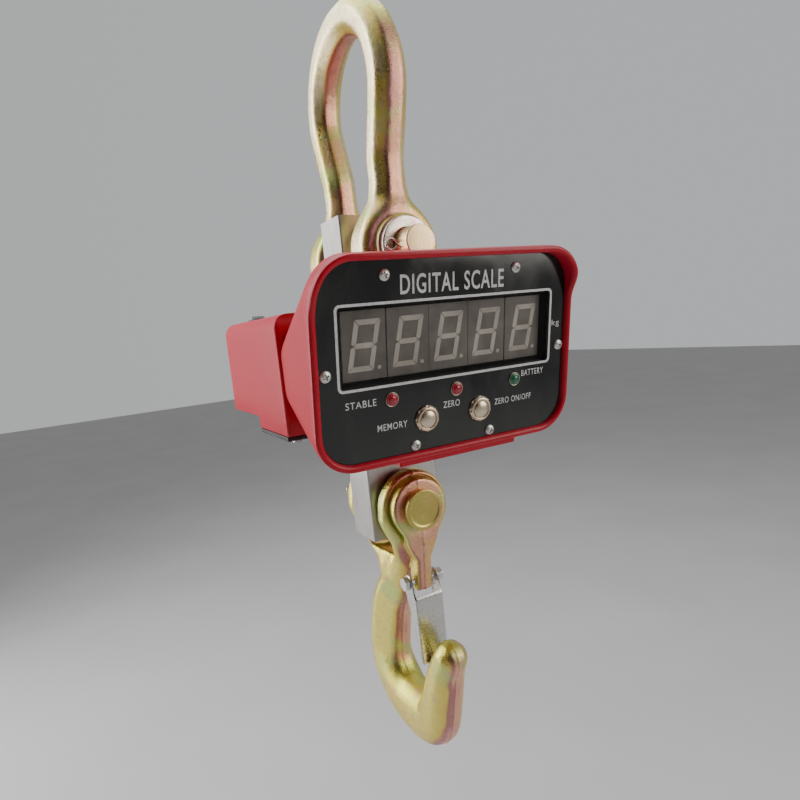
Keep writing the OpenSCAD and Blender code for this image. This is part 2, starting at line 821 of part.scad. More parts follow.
module main_board() {
    color(board_green) {
        translate([main_board_x, main_board_y[0], main_board_z[0]])
            cube([board_t, main_board_y[1] - main_board_y[0], main_board_z[1] - main_board_z[0]]);
        for (y = [4, 26, 48]) {
            translate([main_board_x + board_t, y, rear_top - 45]) cube([3, 12, 16]);
        }
    }
}

module board_standoffs() {
    color(nickel) for (p = post_spots) {
        translate([-side_wall_x, p[0], p[1]]) rotate([0, 90, 0]) cylinder(h = 8, d = 5, $fn = 24);
    }
}

battery_size = [102, 70, 47];
battery_y = 38;
rear_floor = rear_bottom + wall;

module battery() {
    color("#3b3d42") translate([-battery_size[0] / 2, battery_y, rear_floor]) {
        cube(battery_size);
        for (x = [10, 84]) {
            translate([x, 8, battery_size[2]]) cube([0.8, 6, 6]);
        }
    }
}

strap_t = 1.5;
strap_y = battery_y + 30;

// Steel strap over the battery with a foot on each side
module battery_strap() {
    half = battery_size[0] / 2 + 0.2;
    top = rear_floor + battery_size[2] + 0.2;
    color(bright_zinc) difference() {
        union() {
            for (s = [-1, 1]) {
                translate([s > 0 ? half : -half - strap_t, strap_y, rear_floor]) cube([strap_t, 16, top - rear_floor + strap_t]);
                translate([s > 0 ? half : -half - 14, strap_y, rear_floor]) cube([14, 16, strap_t]);
            }
            translate([-half, strap_y, top]) cube([2 * half, 16, strap_t]);
        }
        for (s = [-1, 1]) {
            translate([s * (half + 8), strap_y + 8, rear_floor - 1]) cylinder(h = 4, r = 2.1, $fn = 24);
        }
    }
}

module strap_screws() {
    color(bright_zinc) for (s = [-1, 1]) {
        translate([s * (battery_size[0] / 2 + 8.2), strap_y + 8, rear_floor + strap_t]) mirror([0, 0, 1])
            pan_screw(7, 2.4, 3.9, strap_t);
    }
}

rocker_axis_z = rear_top + 0.5;

// Rocker switch body in the roof of the rear housing
module power_switch() {
    color(rubber_black) translate([switch_pos[0], switch_pos[1], rear_top]) difference() {
        union() {
            translate([-7.7, -10.7, 0]) cube([15.4, 21.4, 2]);
            translate([-6.6, -9.6, -14]) cube([13.2, 19.2, 14.5]);
        }
        translate([-5.2, -8.2, -6]) cube([10.4, 16.4, 20]);
    }
}

// Rocker, tipped to its off position
module power_rocker() {
    color(rubber_black) translate([switch_pos[0], switch_pos[1], rocker_axis_z]) rotate([10, 0, 0])
        rotate([90, 0, 90]) translate([0, 0, -4.9]) linear_extrude(9.8)
            polygon([[-7.4, 3.4], [-7.2, -1], [-3, -3.5], [3, -3.5], [7.2, -1], [7.4, 3.4], [0, 2.2]]);
}

module charge_socket() {
    color(rubber_black) along_y(rear_back - 12, 0) translate([socket_pos[0], -socket_pos[1], 0]) difference() {
        union() {
            cylinder(h = 12, r = 5.5);
            translate([0, 0, 12]) cylinder(h = 2, r = 7.5);
        }
        translate([0, 0, 4]) cylinder(h = 12, r = 3);
    }
}

module socket_nut() {
    color(bright_zinc) along_y(rear_back - wall - 2.6, 0) translate([socket_pos[0], -socket_pos[1], 0]) difference() {
        cylinder(h = 2.5, r = 8, $fn = 6);
        translate([0, 0, -e]) cylinder(h = 3, r = 5.55);
    }
}

// ---- cables inside the housings ----

// Round cable of radius r along points, as one closed tube
module cable(points, r, sides = 8) {
    line = smooth_line(points, 4);
    last = len(line) - 1;
    rings = [
        for (i = [0:last])
            let (d = line[min(i + 1, last)] - line[max(i - 1, 0)], u = cross(d, [0.1, 0.2, 1]), v = cross(u, d))
                for (j = [0:sides - 1]) line[i] + r * (u * cos(360 * j / sides) / norm(u) + v * sin(360 * j / sides) / norm(v))
    ];
    polyhedron(rings, tube_faces(last + 1, sides));
}

module display_cable() {
    color("#77797d") cable([[-50, -75, panel_z - 4], [-54, -60, panel_z - 6], [-62, -40, panel_z - 8], [-66, -20, panel_z - 8],
        [-68, 0, panel_z - 6], [-72, 9, panel_z - 4]], 2);
}

module cell_cable() {
    color("#2a2b2e") cable([[-31, 14, panel_z + 24], [-38, 20, panel_z + 24], [-48, 28, panel_z + 22], [-60, 30, panel_z + 14],
        [-72, 30, panel_z + 8]], 1.6);
}

module battery_cable() {
    color("#a5222a") cable([[-41, 48, rear_floor + 54], [-46, 50, rear_floor + 56], [-56, 52, rear_floor + 52],
        [-64, 53, rear_floor + 42], [-72, 53, rear_floor + 36]], 1.4);
}

shackle();
shackle_pin();
shackle_washer();
shackle_cotter();
load_cell();
gauge_covers();
hook();
hook_pin();
hook_washer();
hook_cotter();
latch();
latch_bolt();
latch_nut();
latch_spring();
front_housing();
rear_housing();
top_gasket();
base_plate();
base_screws();
housing_screws();
cell_bracket_left();
cell_bracket_right();
bracket_screws();
front_panel();
window();
panel_screws();
digit_1();
digit_2();
digit_3();
digit_4();
digit_5();
display_board();
display_standoffs();
led_holders();
steady_led();
tare_led();
charge_led();
recall_switch();
recall_cap();
tare_switch();
tare_cap();
button_nuts();
main_board();
board_standoffs();
battery();
battery_strap();
strap_screws();
power_switch();
power_rocker();
charge_socket();
socket_nut();
display_cable();
cell_cable();
battery_cable();
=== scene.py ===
"""Looks for the crane scale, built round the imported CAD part. Local sizes are in mm, the frame in metres."""

import json
import math

import bmesh
import bpy
import numpy as np
from mathutils import Matrix, Vector


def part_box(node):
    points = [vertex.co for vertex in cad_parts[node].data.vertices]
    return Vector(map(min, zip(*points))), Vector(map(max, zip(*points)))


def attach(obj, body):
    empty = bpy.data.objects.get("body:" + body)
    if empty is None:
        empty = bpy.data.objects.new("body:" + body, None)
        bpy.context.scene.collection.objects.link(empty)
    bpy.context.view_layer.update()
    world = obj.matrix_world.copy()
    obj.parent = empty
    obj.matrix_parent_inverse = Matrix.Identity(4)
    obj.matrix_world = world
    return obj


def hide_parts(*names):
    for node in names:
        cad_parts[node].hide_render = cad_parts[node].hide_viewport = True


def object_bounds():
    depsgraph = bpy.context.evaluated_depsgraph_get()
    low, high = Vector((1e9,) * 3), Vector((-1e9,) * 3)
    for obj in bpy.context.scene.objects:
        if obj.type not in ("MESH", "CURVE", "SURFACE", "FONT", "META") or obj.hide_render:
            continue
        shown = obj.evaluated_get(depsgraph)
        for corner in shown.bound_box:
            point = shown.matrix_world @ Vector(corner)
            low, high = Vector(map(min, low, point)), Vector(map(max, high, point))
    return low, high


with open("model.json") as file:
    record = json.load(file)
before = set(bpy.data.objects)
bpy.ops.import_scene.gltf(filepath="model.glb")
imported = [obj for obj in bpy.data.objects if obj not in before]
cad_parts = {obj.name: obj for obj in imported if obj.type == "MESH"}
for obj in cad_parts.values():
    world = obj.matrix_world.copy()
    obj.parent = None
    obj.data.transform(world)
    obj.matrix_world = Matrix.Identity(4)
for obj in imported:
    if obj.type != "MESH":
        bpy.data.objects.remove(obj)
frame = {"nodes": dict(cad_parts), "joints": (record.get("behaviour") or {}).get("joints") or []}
cad_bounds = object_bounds()

MM = 0.001
JOINTS = {j["name"]: j for j in frame["joints"]}


def box_mm(node):
    """Lowest and highest corner of a CAD node, in millimetres."""
    low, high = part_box(node)
    return np.array(low) / MM, np.array(high) / MM


def centre_mm(node):
    low, high = box_mm(node)
    return (low + high) / 2


# ---------------------------------------------------------------- camera, light and floor


def aim(azimuth, elevation, roll=0.0):
    """Rotation that looks towards azimuth, from +Y to +X, and elevation above the horizon, in degrees."""
    turn = Matrix.Rotation(math.radians(-azimuth), 3, "Z") @ Matrix.Rotation(
        math.radians(90 + elevation), 3, "X"
    )
    return turn @ Matrix.Rotation(math.radians(roll), 3, "Z")


def add_camera():
    data = bpy.data.cameras.new("camera")
    data.lens = 27
    data.sensor_width = 36
    data.clip_start = 0.01
    camera = bpy.data.objects.new("camera", data)
    bpy.context.scene.collection.objects.link(camera)
    camera.matrix_world = Matrix.Translation((-0.2071, -0.4151, -0.2068)) @ aim(27.98, -7.02, -5.96).to_4x4()
    bpy.context.scene.camera = camera


def add_area_light(name, target, azimuth, elevation, distance, size, power, colour):
    """Lamp that stands off target by distance, towards azimuth and elevation, and shines back at it."""
    data = bpy.data.lights.new(name, "AREA")
    data.shape = "RECTANGLE"
    data.size, data.size_y = size
    data.energy = power
    data.color = colour
    lamp = bpy.data.objects.new(name, data)
    bpy.context.scene.collection.objects.link(lamp)
    a, h = math.radians(azimuth), math.radians(elevation)
    away = Vector((math.sin(a) * math.cos(h), math.cos(a) * math.cos(h), math.sin(h)))
    lamp.location = Vector(target) + distance * away
    lamp.rotation_euler = away.to_track_quat("Z", "Y").to_euler()


def add_world():
    world = bpy.data.worlds.new("studio")
    bpy.context.scene.world = world
    world.use_nodes = True
    tree = world.node_tree
    back = tree.nodes["Background"]
    coords = tree.nodes.new("ShaderNodeTexCoord")
    spread = tree.nodes.new("ShaderNodeVectorMath")
    spread.operation = "DOT_PRODUCT"
    spread.inputs[1].default_value = (-0.74, -0.66, -0.12)
    ramp = tree.nodes.new("ShaderNodeValToRGB")
    tones = [
        (0.0, (0.50, 0.51, 0.52)), (0.45, (0.47, 0.47, 0.47)), (0.62, (0.30, 0.29, 0.28)),
        (0.78, (0.07, 0.06, 0.055)), (1.0, (0.035, 0.03, 0.03))
    ]
    stops = ramp.color_ramp.elements
    for place, _ in tones[2:]:
        stops.new(place)
    for stop, (place, tone) in zip(stops, tones):
        stop.position = place
        stop.color = (*tone, 1)
    shift = tree.nodes.new("ShaderNodeMapRange")
    shift.inputs["From Min"].default_value = -1
    tree.links.new(coords.outputs["Generated"], spread.inputs[0])
    tree.links.new(spread.outputs["Value"], shift.inputs["Value"])
    tree.links.new(shift.outputs["Result"], ramp.inputs["Fac"])
    tree.links.new(ramp.outputs["Color"], back.inputs["Color"])
    back.inputs["Strength"].default_value = 1.0


def add_lights():
    middle = (0, 0, -0.25)
    add_area_light("window_left", middle, -52, 18, 1.3, (0.8, 1.8), 26, (1.0, 0.99, 0.97))
    add_area_light("fill_right", middle, 138, 16, 1.5, (0.8, 1.2), 11, (1.0, 0.95, 0.88))
    add_area_light("sky", middle, 10, 66, 1.4, (1.2, 1.2), 14, (0.96, 0.98, 1.0))


# ---------------------------------------------------------------- materials


class Paint:
    """A node material with short ways to add and link its nodes."""

    def __init__(self, name):
        self.material = bpy.data.materials.new(name)
        self.material.use_nodes = True
        self.tree = self.material.node_tree
        self.shader = self.tree.nodes["Principled BSDF"]
        self.coords = self.tree.nodes.new("ShaderNodeTexCoord")

    def add(self, kind, inputs=None, **settings):
        """New node of a kind, such as "TexNoise". An input is a number, a colour or a socket to link."""
        node = self.tree.nodes.new("ShaderNode" + kind)
        for name, value in settings.items():
            setattr(node, name, value)
        for name, value in (inputs or {}).items():
            self.put(node.inputs[name], value)
        return node

    def put(self, socket, value):
        if isinstance(value, bpy.types.NodeSocket):
            self.tree.links.new(value, socket)
        else:
            socket.default_value = value

    def set(self, **values):
        """Inputs of the surface shader, with _ for a space."""
        for name, value in values.items():
            self.put(self.shader.inputs[name.replace("_", " ")], value)

    def noise(self, scale, detail=3.0, roughness=0.55, vector=None, distortion=0.0):
        """Noise from 0 to 1; scale is in cells a metre of the object."""
        vector = vector or self.coords.outputs["Object"]
        inputs = {
            "Vector": vector, "Scale": scale, "Detail": detail, "Roughness": roughness,
            "Distortion": distortion
        }
        return self.add("TexNoise", inputs).outputs["Fac"]

    def stretched(self, x, y, z):
        """Object coordinates scaled on each axis."""
        return self.add("Mapping", {"Vector": self.coords.outputs["Object"], "Scale": (x, y, z)}).outputs[
            "Vector"
        ]

    def remap(self, value, low, high, to_low=0.0, to_high=1.0):
        inputs = {"Value": value, "From Min": low, "From Max": high, "To Min": to_low, "To Max": to_high}
        return self.add("MapRange", inputs, interpolation_type="SMOOTHSTEP").outputs["Result"]

    def math(self, operation, a, b=0.0):
        node = self.add("Math", operation=operation)
        self.put(node.inputs[0], a)
        self.put(node.inputs[1], b)
        return node.outputs["Value"]

    def mix(self, factor, a, b, blend="MIX"):
        """Colour a where factor is 0, b where it is 1."""
        node = self.add("Mix", data_type="RGBA", blend_type=blend)
        self.put(node.inputs[0], factor)
        self.put(node.inputs[6], a if isinstance(a, bpy.types.NodeSocket) else (*a, 1))
        self.put(node.inputs[7], b if isinstance(b, bpy.types.NodeSocket) else (*b, 1))
        return node.outputs[2]

    def ramp(self, factor, stops):
        """Colour ramp of (position, colour) stops."""
        node = self.add("ValToRGB", {"Fac": factor})
        elements = node.color_ramp.elements
        elements[0].position, elements[0].color = stops[0][0], (*stops[0][1], 1)
        elements[1].position, elements[1].color = stops[-1][0], (*stops[-1][1], 1)
        for position, colour in stops[1:-1]:
            elements.new(position).color = (*colour, 1)
        return node.outputs["Color"]

    def bump(self, height, distance, strength=1.0, normal=None):
        """Bump of a height from 0 to 1, distance in millimetres."""
        inputs = {"Height": height, "Distance": distance * MM, "Strength": strength}
        if normal:
            inputs["Normal"] = normal
        return self.add("Bump", inputs).outputs["Normal"]

    def facing(self):
        """X, Y and Z of the surface's direction in the object's own axes, each from -1 to 1."""
        split = self.add("SeparateXYZ", {"Vector": self.coords.outputs["Normal"]})
        return split.outputs["X"], split.outputs["Y"], split.outputs["Z"]

    def place(self):
        split = self.add("SeparateXYZ", {"Vector": self.coords.outputs["Object"]})
        return split.outputs["X"], split.outputs["Y"], split.outputs["Z"]


GOLD = (0.82, 0.61, 0.11)
CREAM = (0.92, 0.80, 0.50)
MAUVE = (0.46, 0.19, 0.18)
SALMON = (0.84, 0.42, 0.28)
OLIVE = (0.60, 0.58, 0.08)
LIME = (0.50, 0.66, 0.20)
ROSE = (0.72, 0.32, 0.36)


def zinc_forging(name, left):
    """Yellow-zinc plating on a rough forging: gold that drifts to pink and green with place. Its colour by
    facing direction is painted reflection: a painted highlight in the colour left on sides facing -X, a
    painted dark mauve reflection, then salmon and gold round to a cream painted highlight on +X, and olive on
    the tops.
    """
    paint = Paint(name)
    x, _, z = paint.facing()
    drift = paint.noise(16, 2, 0.5, distortion=0.6)
    patches = paint.noise(70, 4, 0.6)
    side = paint.math("ADD", x, paint.remap(drift, 0.3, 0.7, -0.22, 0.22))
    hue = paint.remap(side, -1.1, 1.1)
    # Painted reflection and highlight by facing direction: the colour left on -X, then dark mauve, salmon,
    # gold and a cream highlight on +X.
    painted_reflection = paint.ramp(
        hue,
        [
            (0.0, left), (0.11, GOLD), (0.2, MAUVE), (0.34, MAUVE), (0.46, SALMON), (0.66, SALMON),
            (0.84, GOLD), (1.0, CREAM)
        ]
    )
    # Tops turn olive: a painted reflection of what is above.
    upward_reflection = paint.remap(paint.math("ADD", z, paint.remap(drift, 0.3, 0.7, -0.3, 0.3)), 0.25, 0.85)
    colour = paint.mix(upward_reflection, painted_reflection, OLIVE)
    green = paint.remap(paint.noise(24, 3, 0.5, distortion=1.0), 0.52, 0.68, 0.0, 0.75)
    colour = paint.mix(green, colour, LIME)
    pink = paint.remap(patches, 0.56, 0.7, 0.0, 0.55)
    colour = paint.mix(pink, colour, ROSE)
    # Fine grain of the forging. Its light cream specks in the colour are partly real grain and partly painted
    # sparkle.
    grain = paint.noise(1000, 4, 0.7)
    colour = paint.mix(paint.remap(grain, 0.35, 0.7, 0.0, 0.18), colour, CREAM)
    roughness = paint.math(
        "ADD", paint.remap(patches, 0.3, 0.7, 0.24, 0.36), paint.remap(grain, 0.3, 0.7, -0.04, 0.08)
    )
    rough = paint.bump(grain, 0.28)
    lumps = paint.bump(paint.noise(240, 3, 0.6), 0.35, normal=rough)
    paint.set(Base_Color=colour, Metallic=1.0, Roughness=roughness, Normal=lumps)
    return paint.material


def zinc_turned(name, centre, share, tone):
    """Yellow-zinc plating on a turned part, with fine rings round the Y axis through centre."""
    paint = Paint(name)
    px, _, pz = paint.place()
    dx = paint.math("SUBTRACT", px, float(centre[0]) * MM)
    dz = paint.math("SUBTRACT", pz, float(centre[2]) * MM)
    radius = paint.math(
        "SQRT", paint.math("ADD", paint.math("MULTIPLY", dx, dx), paint.math("MULTIPLY", dz, dz))
    )
    rings = paint.add(
        "TexNoise", {"W": paint.math("MULTIPLY", radius, 2600.0), "Scale": 1.0, "Detail": 2.0},
        noise_dimensions="1D"
    )
    drift = paint.noise(60, 2, 0.5, distortion=0.8)
    colour = paint.ramp(drift, [(0.3, SALMON), (0.45, GOLD), (0.6, OLIVE), (0.72, GOLD)])
    colour = paint.mix(share, colour, tone)
    ring = rings.outputs["Fac"]
    colour = paint.mix(paint.remap(ring, 0.35, 0.65, 0.0, 0.25), colour, CREAM)
    speckle = paint.noise(900, 3, 0.6)
    roughness = paint.remap(speckle, 0.3, 0.7, 0.26, 0.40)
    fine = paint.bump(ring, 0.05)
    paint.set(
        Base_Color=colour, Metallic=1.0, Roughness=roughness,
        Normal=paint.bump(speckle, 0.04, normal=fine)
    )
    return paint.material


def zinc_iridescent(name):
    """Thin bright chromate on a flat washer, drifting from pink to green."""
    paint = Paint(name)
    drift = paint.noise(45, 2, 0.5, distortion=1.4)
    colour = paint.ramp(
        drift,
        [
            (0.3, (0.80, 0.52, 0.55)), (0.45, (0.86, 0.76, 0.66)), (0.58, (0.55, 0.80, 0.52)),
            (0.7, (0.80, 0.62, 0.64))
        ]
    )
    speckle = paint.noise(1100, 3, 0.6)
    paint.set(Base_Color=colour, Metallic=1.0, Roughness=paint.remap(speckle, 0.3, 0.7, 0.22, 0.34))
    paint.set(Normal=paint.bump(speckle, 0.05))
    return paint.material


def machined_steel(name):
    """Ground and nickel-plated bar, brushed along its length."""
    paint = Paint(name)
    brushed = paint.noise(60, 5, 0.6, vector=paint.stretched(14, 14, 1.2))
    cloud = paint.noise(14, 3, 0.5)
    colour = paint.mix(paint.remap(cloud, 0.35, 0.65), (0.42, 0.395, 0.38), (0.54, 0.52, 0.505))
    colour = paint.mix(paint.remap(brushed, 0.3, 0.7, 0.0, 0.3), colour, (0.70, 0.69, 0.69))
    speckle = paint.noise(1500, 3, 0.6)
    roughness = paint.remap(brushed, 0.3, 0.7, 0.34, 0.46)
    paint.set(Base_Color=colour, Metallic=1.0, Roughness=roughness)
    paint.set(Normal=paint.bump(speckle, 0.04, normal=paint.bump(brushed, 0.06)))
    return paint.material


def plated(name, colour, rough=0.2, tint=(0.9, 0.9, 0.9)):
    """Bright plated small part with light handling marks."""
    paint = Paint(name)
    cloud = paint.noise(120, 3, 0.6)
    mottled = paint.mix(
        paint.remap(cloud, 0.35, 0.65, 0.0, 0.6), colour, tuple(c * t for c, t in zip(colour, tint))
    )
    marks = paint.noise(900, 4, 0.6)
    paint.set(Base_Color=mottled, Metallic=1.0, Roughness=paint.remap(marks, 0.3, 0.75, rough, rough + 0.16))
    paint.set(Normal=paint.bump(marks, 0.03))
    return paint.material


def red_enamel(name):
    """Red paint with a fine orange peel, flatter on the sides than on the rim. The sides are painted lighter
    and pinker and the front-facing rim darker, as painted shade.
    """
    paint = Paint(name)
    _, y, _ = paint.facing()
    cloud = paint.noise(9, 3, 0.55)
    # Share of facing the front: it paints the front darker and the sides lighter as painted shade, and also
    # sets the gloss.
    flat = paint.remap(
        paint.math("ADD", paint.math("MULTIPLY", y, -1.0), paint.remap(cloud, 0.3, 0.7, -0.08, 0.08)),
        0.2, 0.75
    )
    colour = paint.mix(flat, (0.56, 0.010, 0.032), (0.44, 0.004, 0.018))
    colour = paint.mix(paint.remap(cloud, 0.3, 0.7, 0.0, 0.25), colour, (0.60, 0.016, 0.044))
    peel = paint.noise(420, 2, 0.5)
    dust = paint.noise(2200, 2, 0.6)
    roughness = paint.math(
        "ADD", paint.remap(flat, 0.0, 1.0, 0.42, 0.26), paint.remap(dust, 0.4, 0.7, 0.0, 0.06)
    )
    paint.set(
        Base_Color=colour, Roughness=roughness, Coat_Weight=0.1, Coat_Roughness=0.25,
        Specular_IOR_Level=0.25
    )
    paint.set(Normal=paint.bump(peel, 0.06, normal=paint.bump(dust, 0.015)))
    return paint.material


def gloss_panel(name):
    """Glossy black panel with faint smears."""
    paint = Paint(name)
    smear = paint.noise(28, 4, 0.6, vector=paint.stretched(1, 1, 0.45), distortion=0.5)
    colour = paint.mix(paint.remap(smear, 0.35, 0.7), (0.010, 0.011, 0.011), (0.022, 0.025, 0.023))
    wave = paint.noise(22, 1, 0.4)
    fine = paint.noise(700, 2, 0.5)
    roughness = paint.remap(smear, 0.3, 0.75, 0.09, 0.22)
    paint.set(Base_Color=colour, Roughness=roughness, Specular_IOR_Level=0.6)
    paint.set(Normal=paint.bump(fine, 0.006, normal=paint.bump(wave, 0.5)))
    return paint.material


def smoked_pane(name):
    """Clear pane, faintly smoked; it shows what is behind it."""
    paint = Paint(name)
    smear = paint.noise(45, 4, 0.6, vector=paint.stretched(1, 1, 0.5), distortion=0.7)
    paint.set(Base_Color=(0.02, 0.019, 0.018, 1), Roughness=paint.remap(smear, 0.3, 0.7, 0.04, 0.14))
    paint.set(Alpha=paint.remap(smear, 0.3, 0.7, 0.10, 0.18), Specular_IOR_Level=0.55)
    paint.set(Normal=paint.bump(paint.noise(20, 1, 0.4), 0.4))
    return paint.material


def digit_face(name):
    """Grey-brown epoxy face of a digit module, cloudy with dust."""
    paint = Paint(name)
    cloud = paint.noise(55, 4, 0.6, distortion=0.4)
    colour = paint.mix(paint.remap(cloud, 0.3, 0.7), (0.20, 0.182, 0.160), (0.29, 0.264, 0.234))
    dust = paint.noise(1300, 3, 0.6)
    colour = paint.mix(paint.remap(dust, 0.55, 0.75, 0.0, 0.35), colour, (0.48, 0.44, 0.40))
    paint.set(Base_Color=colour, Roughness=paint.remap(cloud, 0.3, 0.7, 0.30, 0.45), Specular_IOR_Level=0.45)
    paint.set(Normal=paint.bump(dust, 0.01))
    return paint.material


def segment_face(name):
    """Unlit diffuser of a segment."""
    paint = Paint(name)
    cloud = paint.noise(90, 3, 0.6)
    colour = paint.mix(paint.remap(cloud, 0.3, 0.7), (0.62, 0.57, 0.50), (0.76, 0.70, 0.62))
    paint.set(Base_Color=colour, Roughness=paint.remap(cloud, 0.3, 0.7, 0.35, 0.5))
    paint.set(Normal=paint.bump(paint.noise(1500, 2, 0.5), 0.01))
    return paint.material


def white_print(name):
    """Silk-screened white ink with a slightly uneven edge of cover."""
    paint = Paint(name)
    cover = paint.noise(500, 4, 0.7)
    colour = paint.mix(paint.remap(cover, 0.3, 0.6), (0.52, 0.53, 0.53), (0.70, 0.71, 0.71))
    paint.set(Base_Color=colour, Roughness=paint.remap(cover, 0.3, 0.7, 0.35, 0.5))
    paint.set(Normal=paint.bump(cover, 0.01))
    return paint.material


def lamp_lens(name, dark, light):
    """Tinted epoxy lens, deeper in colour at its rim."""
    paint = Paint(name)
    rim = paint.add("LayerWeight", {"Blend": 0.35}).outputs["Facing"]
    colour = paint.mix(rim, light, dark)
    cloud = paint.noise(500, 2, 0.5)
    paint.set(
        Base_Color=colour, Roughness=paint.remap(cloud, 0.3, 0.7, 0.12, 0.2), Coat_Weight=0.6,
        Coat_Roughness=0.05
    )
    paint.set(Normal=paint.bump(cloud, 0.01))
    return paint.material


def moulded(name, dark, light, rough=0.45, grain=600):
    """Moulded plastic or rubber with a fine grain and slight mottling."""
    paint = Paint(name)
    cloud = paint.noise(40, 3, 0.5)
    colour = paint.mix(paint.remap(cloud, 0.3, 0.7), dark, light)
    pores = paint.noise(grain, 3, 0.6)
    paint.set(Base_Color=colour, Roughness=paint.remap(pores, 0.3, 0.7, rough, rough + 0.15))
    paint.set(Normal=paint.bump(pores, 0.05))
    return paint.material


def pale_floor(name):
    paint = Paint(name)
    cloud = paint.noise(3, 3, 0.5)
    colour = paint.mix(paint.remap(cloud, 0.3, 0.7), (0.52, 0.52, 0.53), (0.55, 0.55, 0.56))
    paint.set(Base_Color=colour, Roughness=0.8, Specular_IOR_Level=0.2)
    paint.set(Normal=paint.bump(paint.noise(200, 2, 0.5), 0.05))
    return paint.material


# ---------------------------------------------------------------- meshes


def add_piece(name, points, faces, body, paint, replaces=(), sharp=32, recalculate=True):
    """Mesh object from points in millimetres, riding on a body."""
    mesh = bpy.data.meshes.new(name)
    mesh.from_pydata((np.asarray(points, float) * MM).tolist(), [], [list(map(int, f)) for f in faces])
    if recalculate:
        work = bmesh.new()
        work.from_mesh(mesh)
        bmesh.ops.recalc_face_normals(work, faces=work.faces)
        work.to_mesh(mesh)
        work.free()
    mesh.validate()
    mesh.shade_smooth()
    mesh.set_sharp_from_angle(angle=math.radians(sharp))
    mesh.materials.append(paint)
    piece = bpy.data.objects.new(name, mesh)
    bpy.context.scene.collection.objects.link(piece)
    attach(piece, body)
    if replaces:
        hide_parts(*replaces)
    return piece


def join_shapes(shapes):
    """One (points, faces) from several."""
    points, faces, start = [], [], 0
    for shape_points, shape_faces in shapes:
        points.append(np.asarray(shape_points, float))
        faces += [[start + i for i in f] for f in shape_faces]
        start += len(shape_points)
    return np.vstack(points), faces


def loft(rings, loop=False):
    """Quads between rings of equal length, as (points, faces). The ends are capped, or joined by loop."""
    rings = [np.asarray(r, float) for r in rings]
    n = len(rings[0])
    faces = []
    for i in range(len(rings) if loop else len(rings) - 1):
        here, there = i * n, (i + 1) % len(rings) * n
        faces += [[here + j, here + (j + 1) % n, there + (j + 1) % n, there + j] for j in range(n)]
    if not loop:
        faces.append(list(range(n))[::-1])
        faces.append([(len(rings) - 1) * n + j for j in range(n)])
    return np.vstack(rings), faces


def rounded_outline(points, radius, steps=5):
    """Outline of 2-D points with each corner of the list rounded; radius is one number or one a corner."""
    points = [np.asarray(p, float) for p in points]
    radii = radius if hasattr(radius, "__len__") else [radius] * len(points)
    out = []
    for i, p in enumerate(points):
        before = points[i - 1] - p
        after = points[(i + 1) % len(points)] - p
        before, after = before / np.linalg.norm(before), after / np.linalg.norm(after)
        half = math.acos(max(-1.0, min(1.0, float(before @ after)))) / 2
        if radii[i] <= 0 or half > math.radians(89):
            out.append(p)
            continue
        reach = radii[i] / math.tan(half)
        bisector = (before + after) / np.linalg.norm(before + after)
        middle = p + bisector * radii[i] / math.sin(half)
        start, end = p + before * reach - middle, p + after * reach - middle
        sweep = math.pi - 2 * half
        turn = math.copysign(1, start[0] * end[1] - start[1] * end[0])
        for k in range(steps + 1):
            a = turn * sweep * k / steps
            c, s = math.cos(a), math.sin(a)
            out.append(middle + np.array([start[0] * c - start[1] * s, start[0] * s + start[1] * c]))
    return np.array(out)


def lathe(profile, segments=64, centre=(0, 0), closed=False):
    """Turned shape of (radius, y) points about a Y axis through centre = (x, z)."""
    profile = np.asarray(profile, float)
    turn = np.linspace(0, 2 * np.pi, segments, endpoint=False)
    rings = [
        np.stack([centre[0] + r * np.cos(turn), np.full(segments, y), centre[1] + r * np.sin(turn)], 1)
        for r, y in profile
    ]
    return loft(rings, loop=closed)


def prism(outline, low, high, place):
    """Plate with a 2-D outline between two depths; place turns (u, v, depth) into a point."""
    rings = [[place(u, v, depth) for u, v in outline] for depth in (low, high)]
    return loft(rings)


def round_rect(width, height, radius, corner_steps=10, side_steps=12, up=0.0):
    """Rounded rectangle about (0, up) with the same number of points whatever its size."""
    w, h = width / 2 - radius, height / 2 - radius
    corners = [(w, h, 0), (-w, h, 90), (-w, -h, 180), (w, -h, 270)]
    out = []
    for i, (cx, cy, start) in enumerate(corners):
        for k in range(corner_steps + 1):
            a = math.radians(start + 90 * k / corner_steps)
            out.append((cx + radius * math.cos(a), cy + radius * math.sin(a)))
        nx, ny, turn = corners[(i + 1) % 4]
        last = out[-1]
        first = (nx + radius * math.cos(math.radians(turn)), ny + radius * math.sin(math.radians(turn)))
        for k in range(1, side_steps):
            t = k / side_steps
            out.append((last[0] + t * (first[0] - last[0]), last[1] + t * (first[1] - last[1])))
    return np.array(out) + (0, up)


# ---------------------------------------------------------------- forgings from distance fields


def smooth_min(a, b, k):
    h = np.clip(0.5 + 0.5 * (b - a) / k, 0, 1)
    return b + (a - b) * h - k * h * (1 - h)


def smooth_max(a, b, k):
    return -smooth_min(-a, -b, k)


def rounded_box(u, v, half_u, half_v, radius):
    """Distance to a rounded rectangle about the origin."""
    du, dv = np.abs(u) - half_u + radius, np.abs(v) - half_v + radius
    return np.hypot(np.maximum(du, 0), np.maximum(dv, 0)) + np.minimum(np.maximum(du, dv), 0) - radius


def octagon(u, v, crisp):
    """1 on a regular octagon whose flats are at distance 1, with edges softened less as crisp grows."""
    u, v = np.abs(u) + 1e-6, np.abs(v) + 1e-6
    total = u**crisp + v**crisp + ((u + v) / math.sqrt(2)) ** crisp
    return total ** (1 / crisp)


def smooth_line(stations, steps):
    """Points of a Catmull-Rom curve through stations."""
    p = np.asarray(stations, float)
    p = np.vstack([2 * p[0] - p[1], p, 2 * p[-1] - p[-2]])
    out = []
    for a, b, c, d in zip(p, p[1:], p[2:], p[3:]):
        for t in np.arange(steps) / steps:
            square, cube = 2 * a - 5 * b + 4 * c - d, 3 * b - a - 3 * c + d
            out.append(0.5 * (2 * b + (c - a) * t + square * t**2 + cube * t**3))
    return np.array(out + [p[-2]])


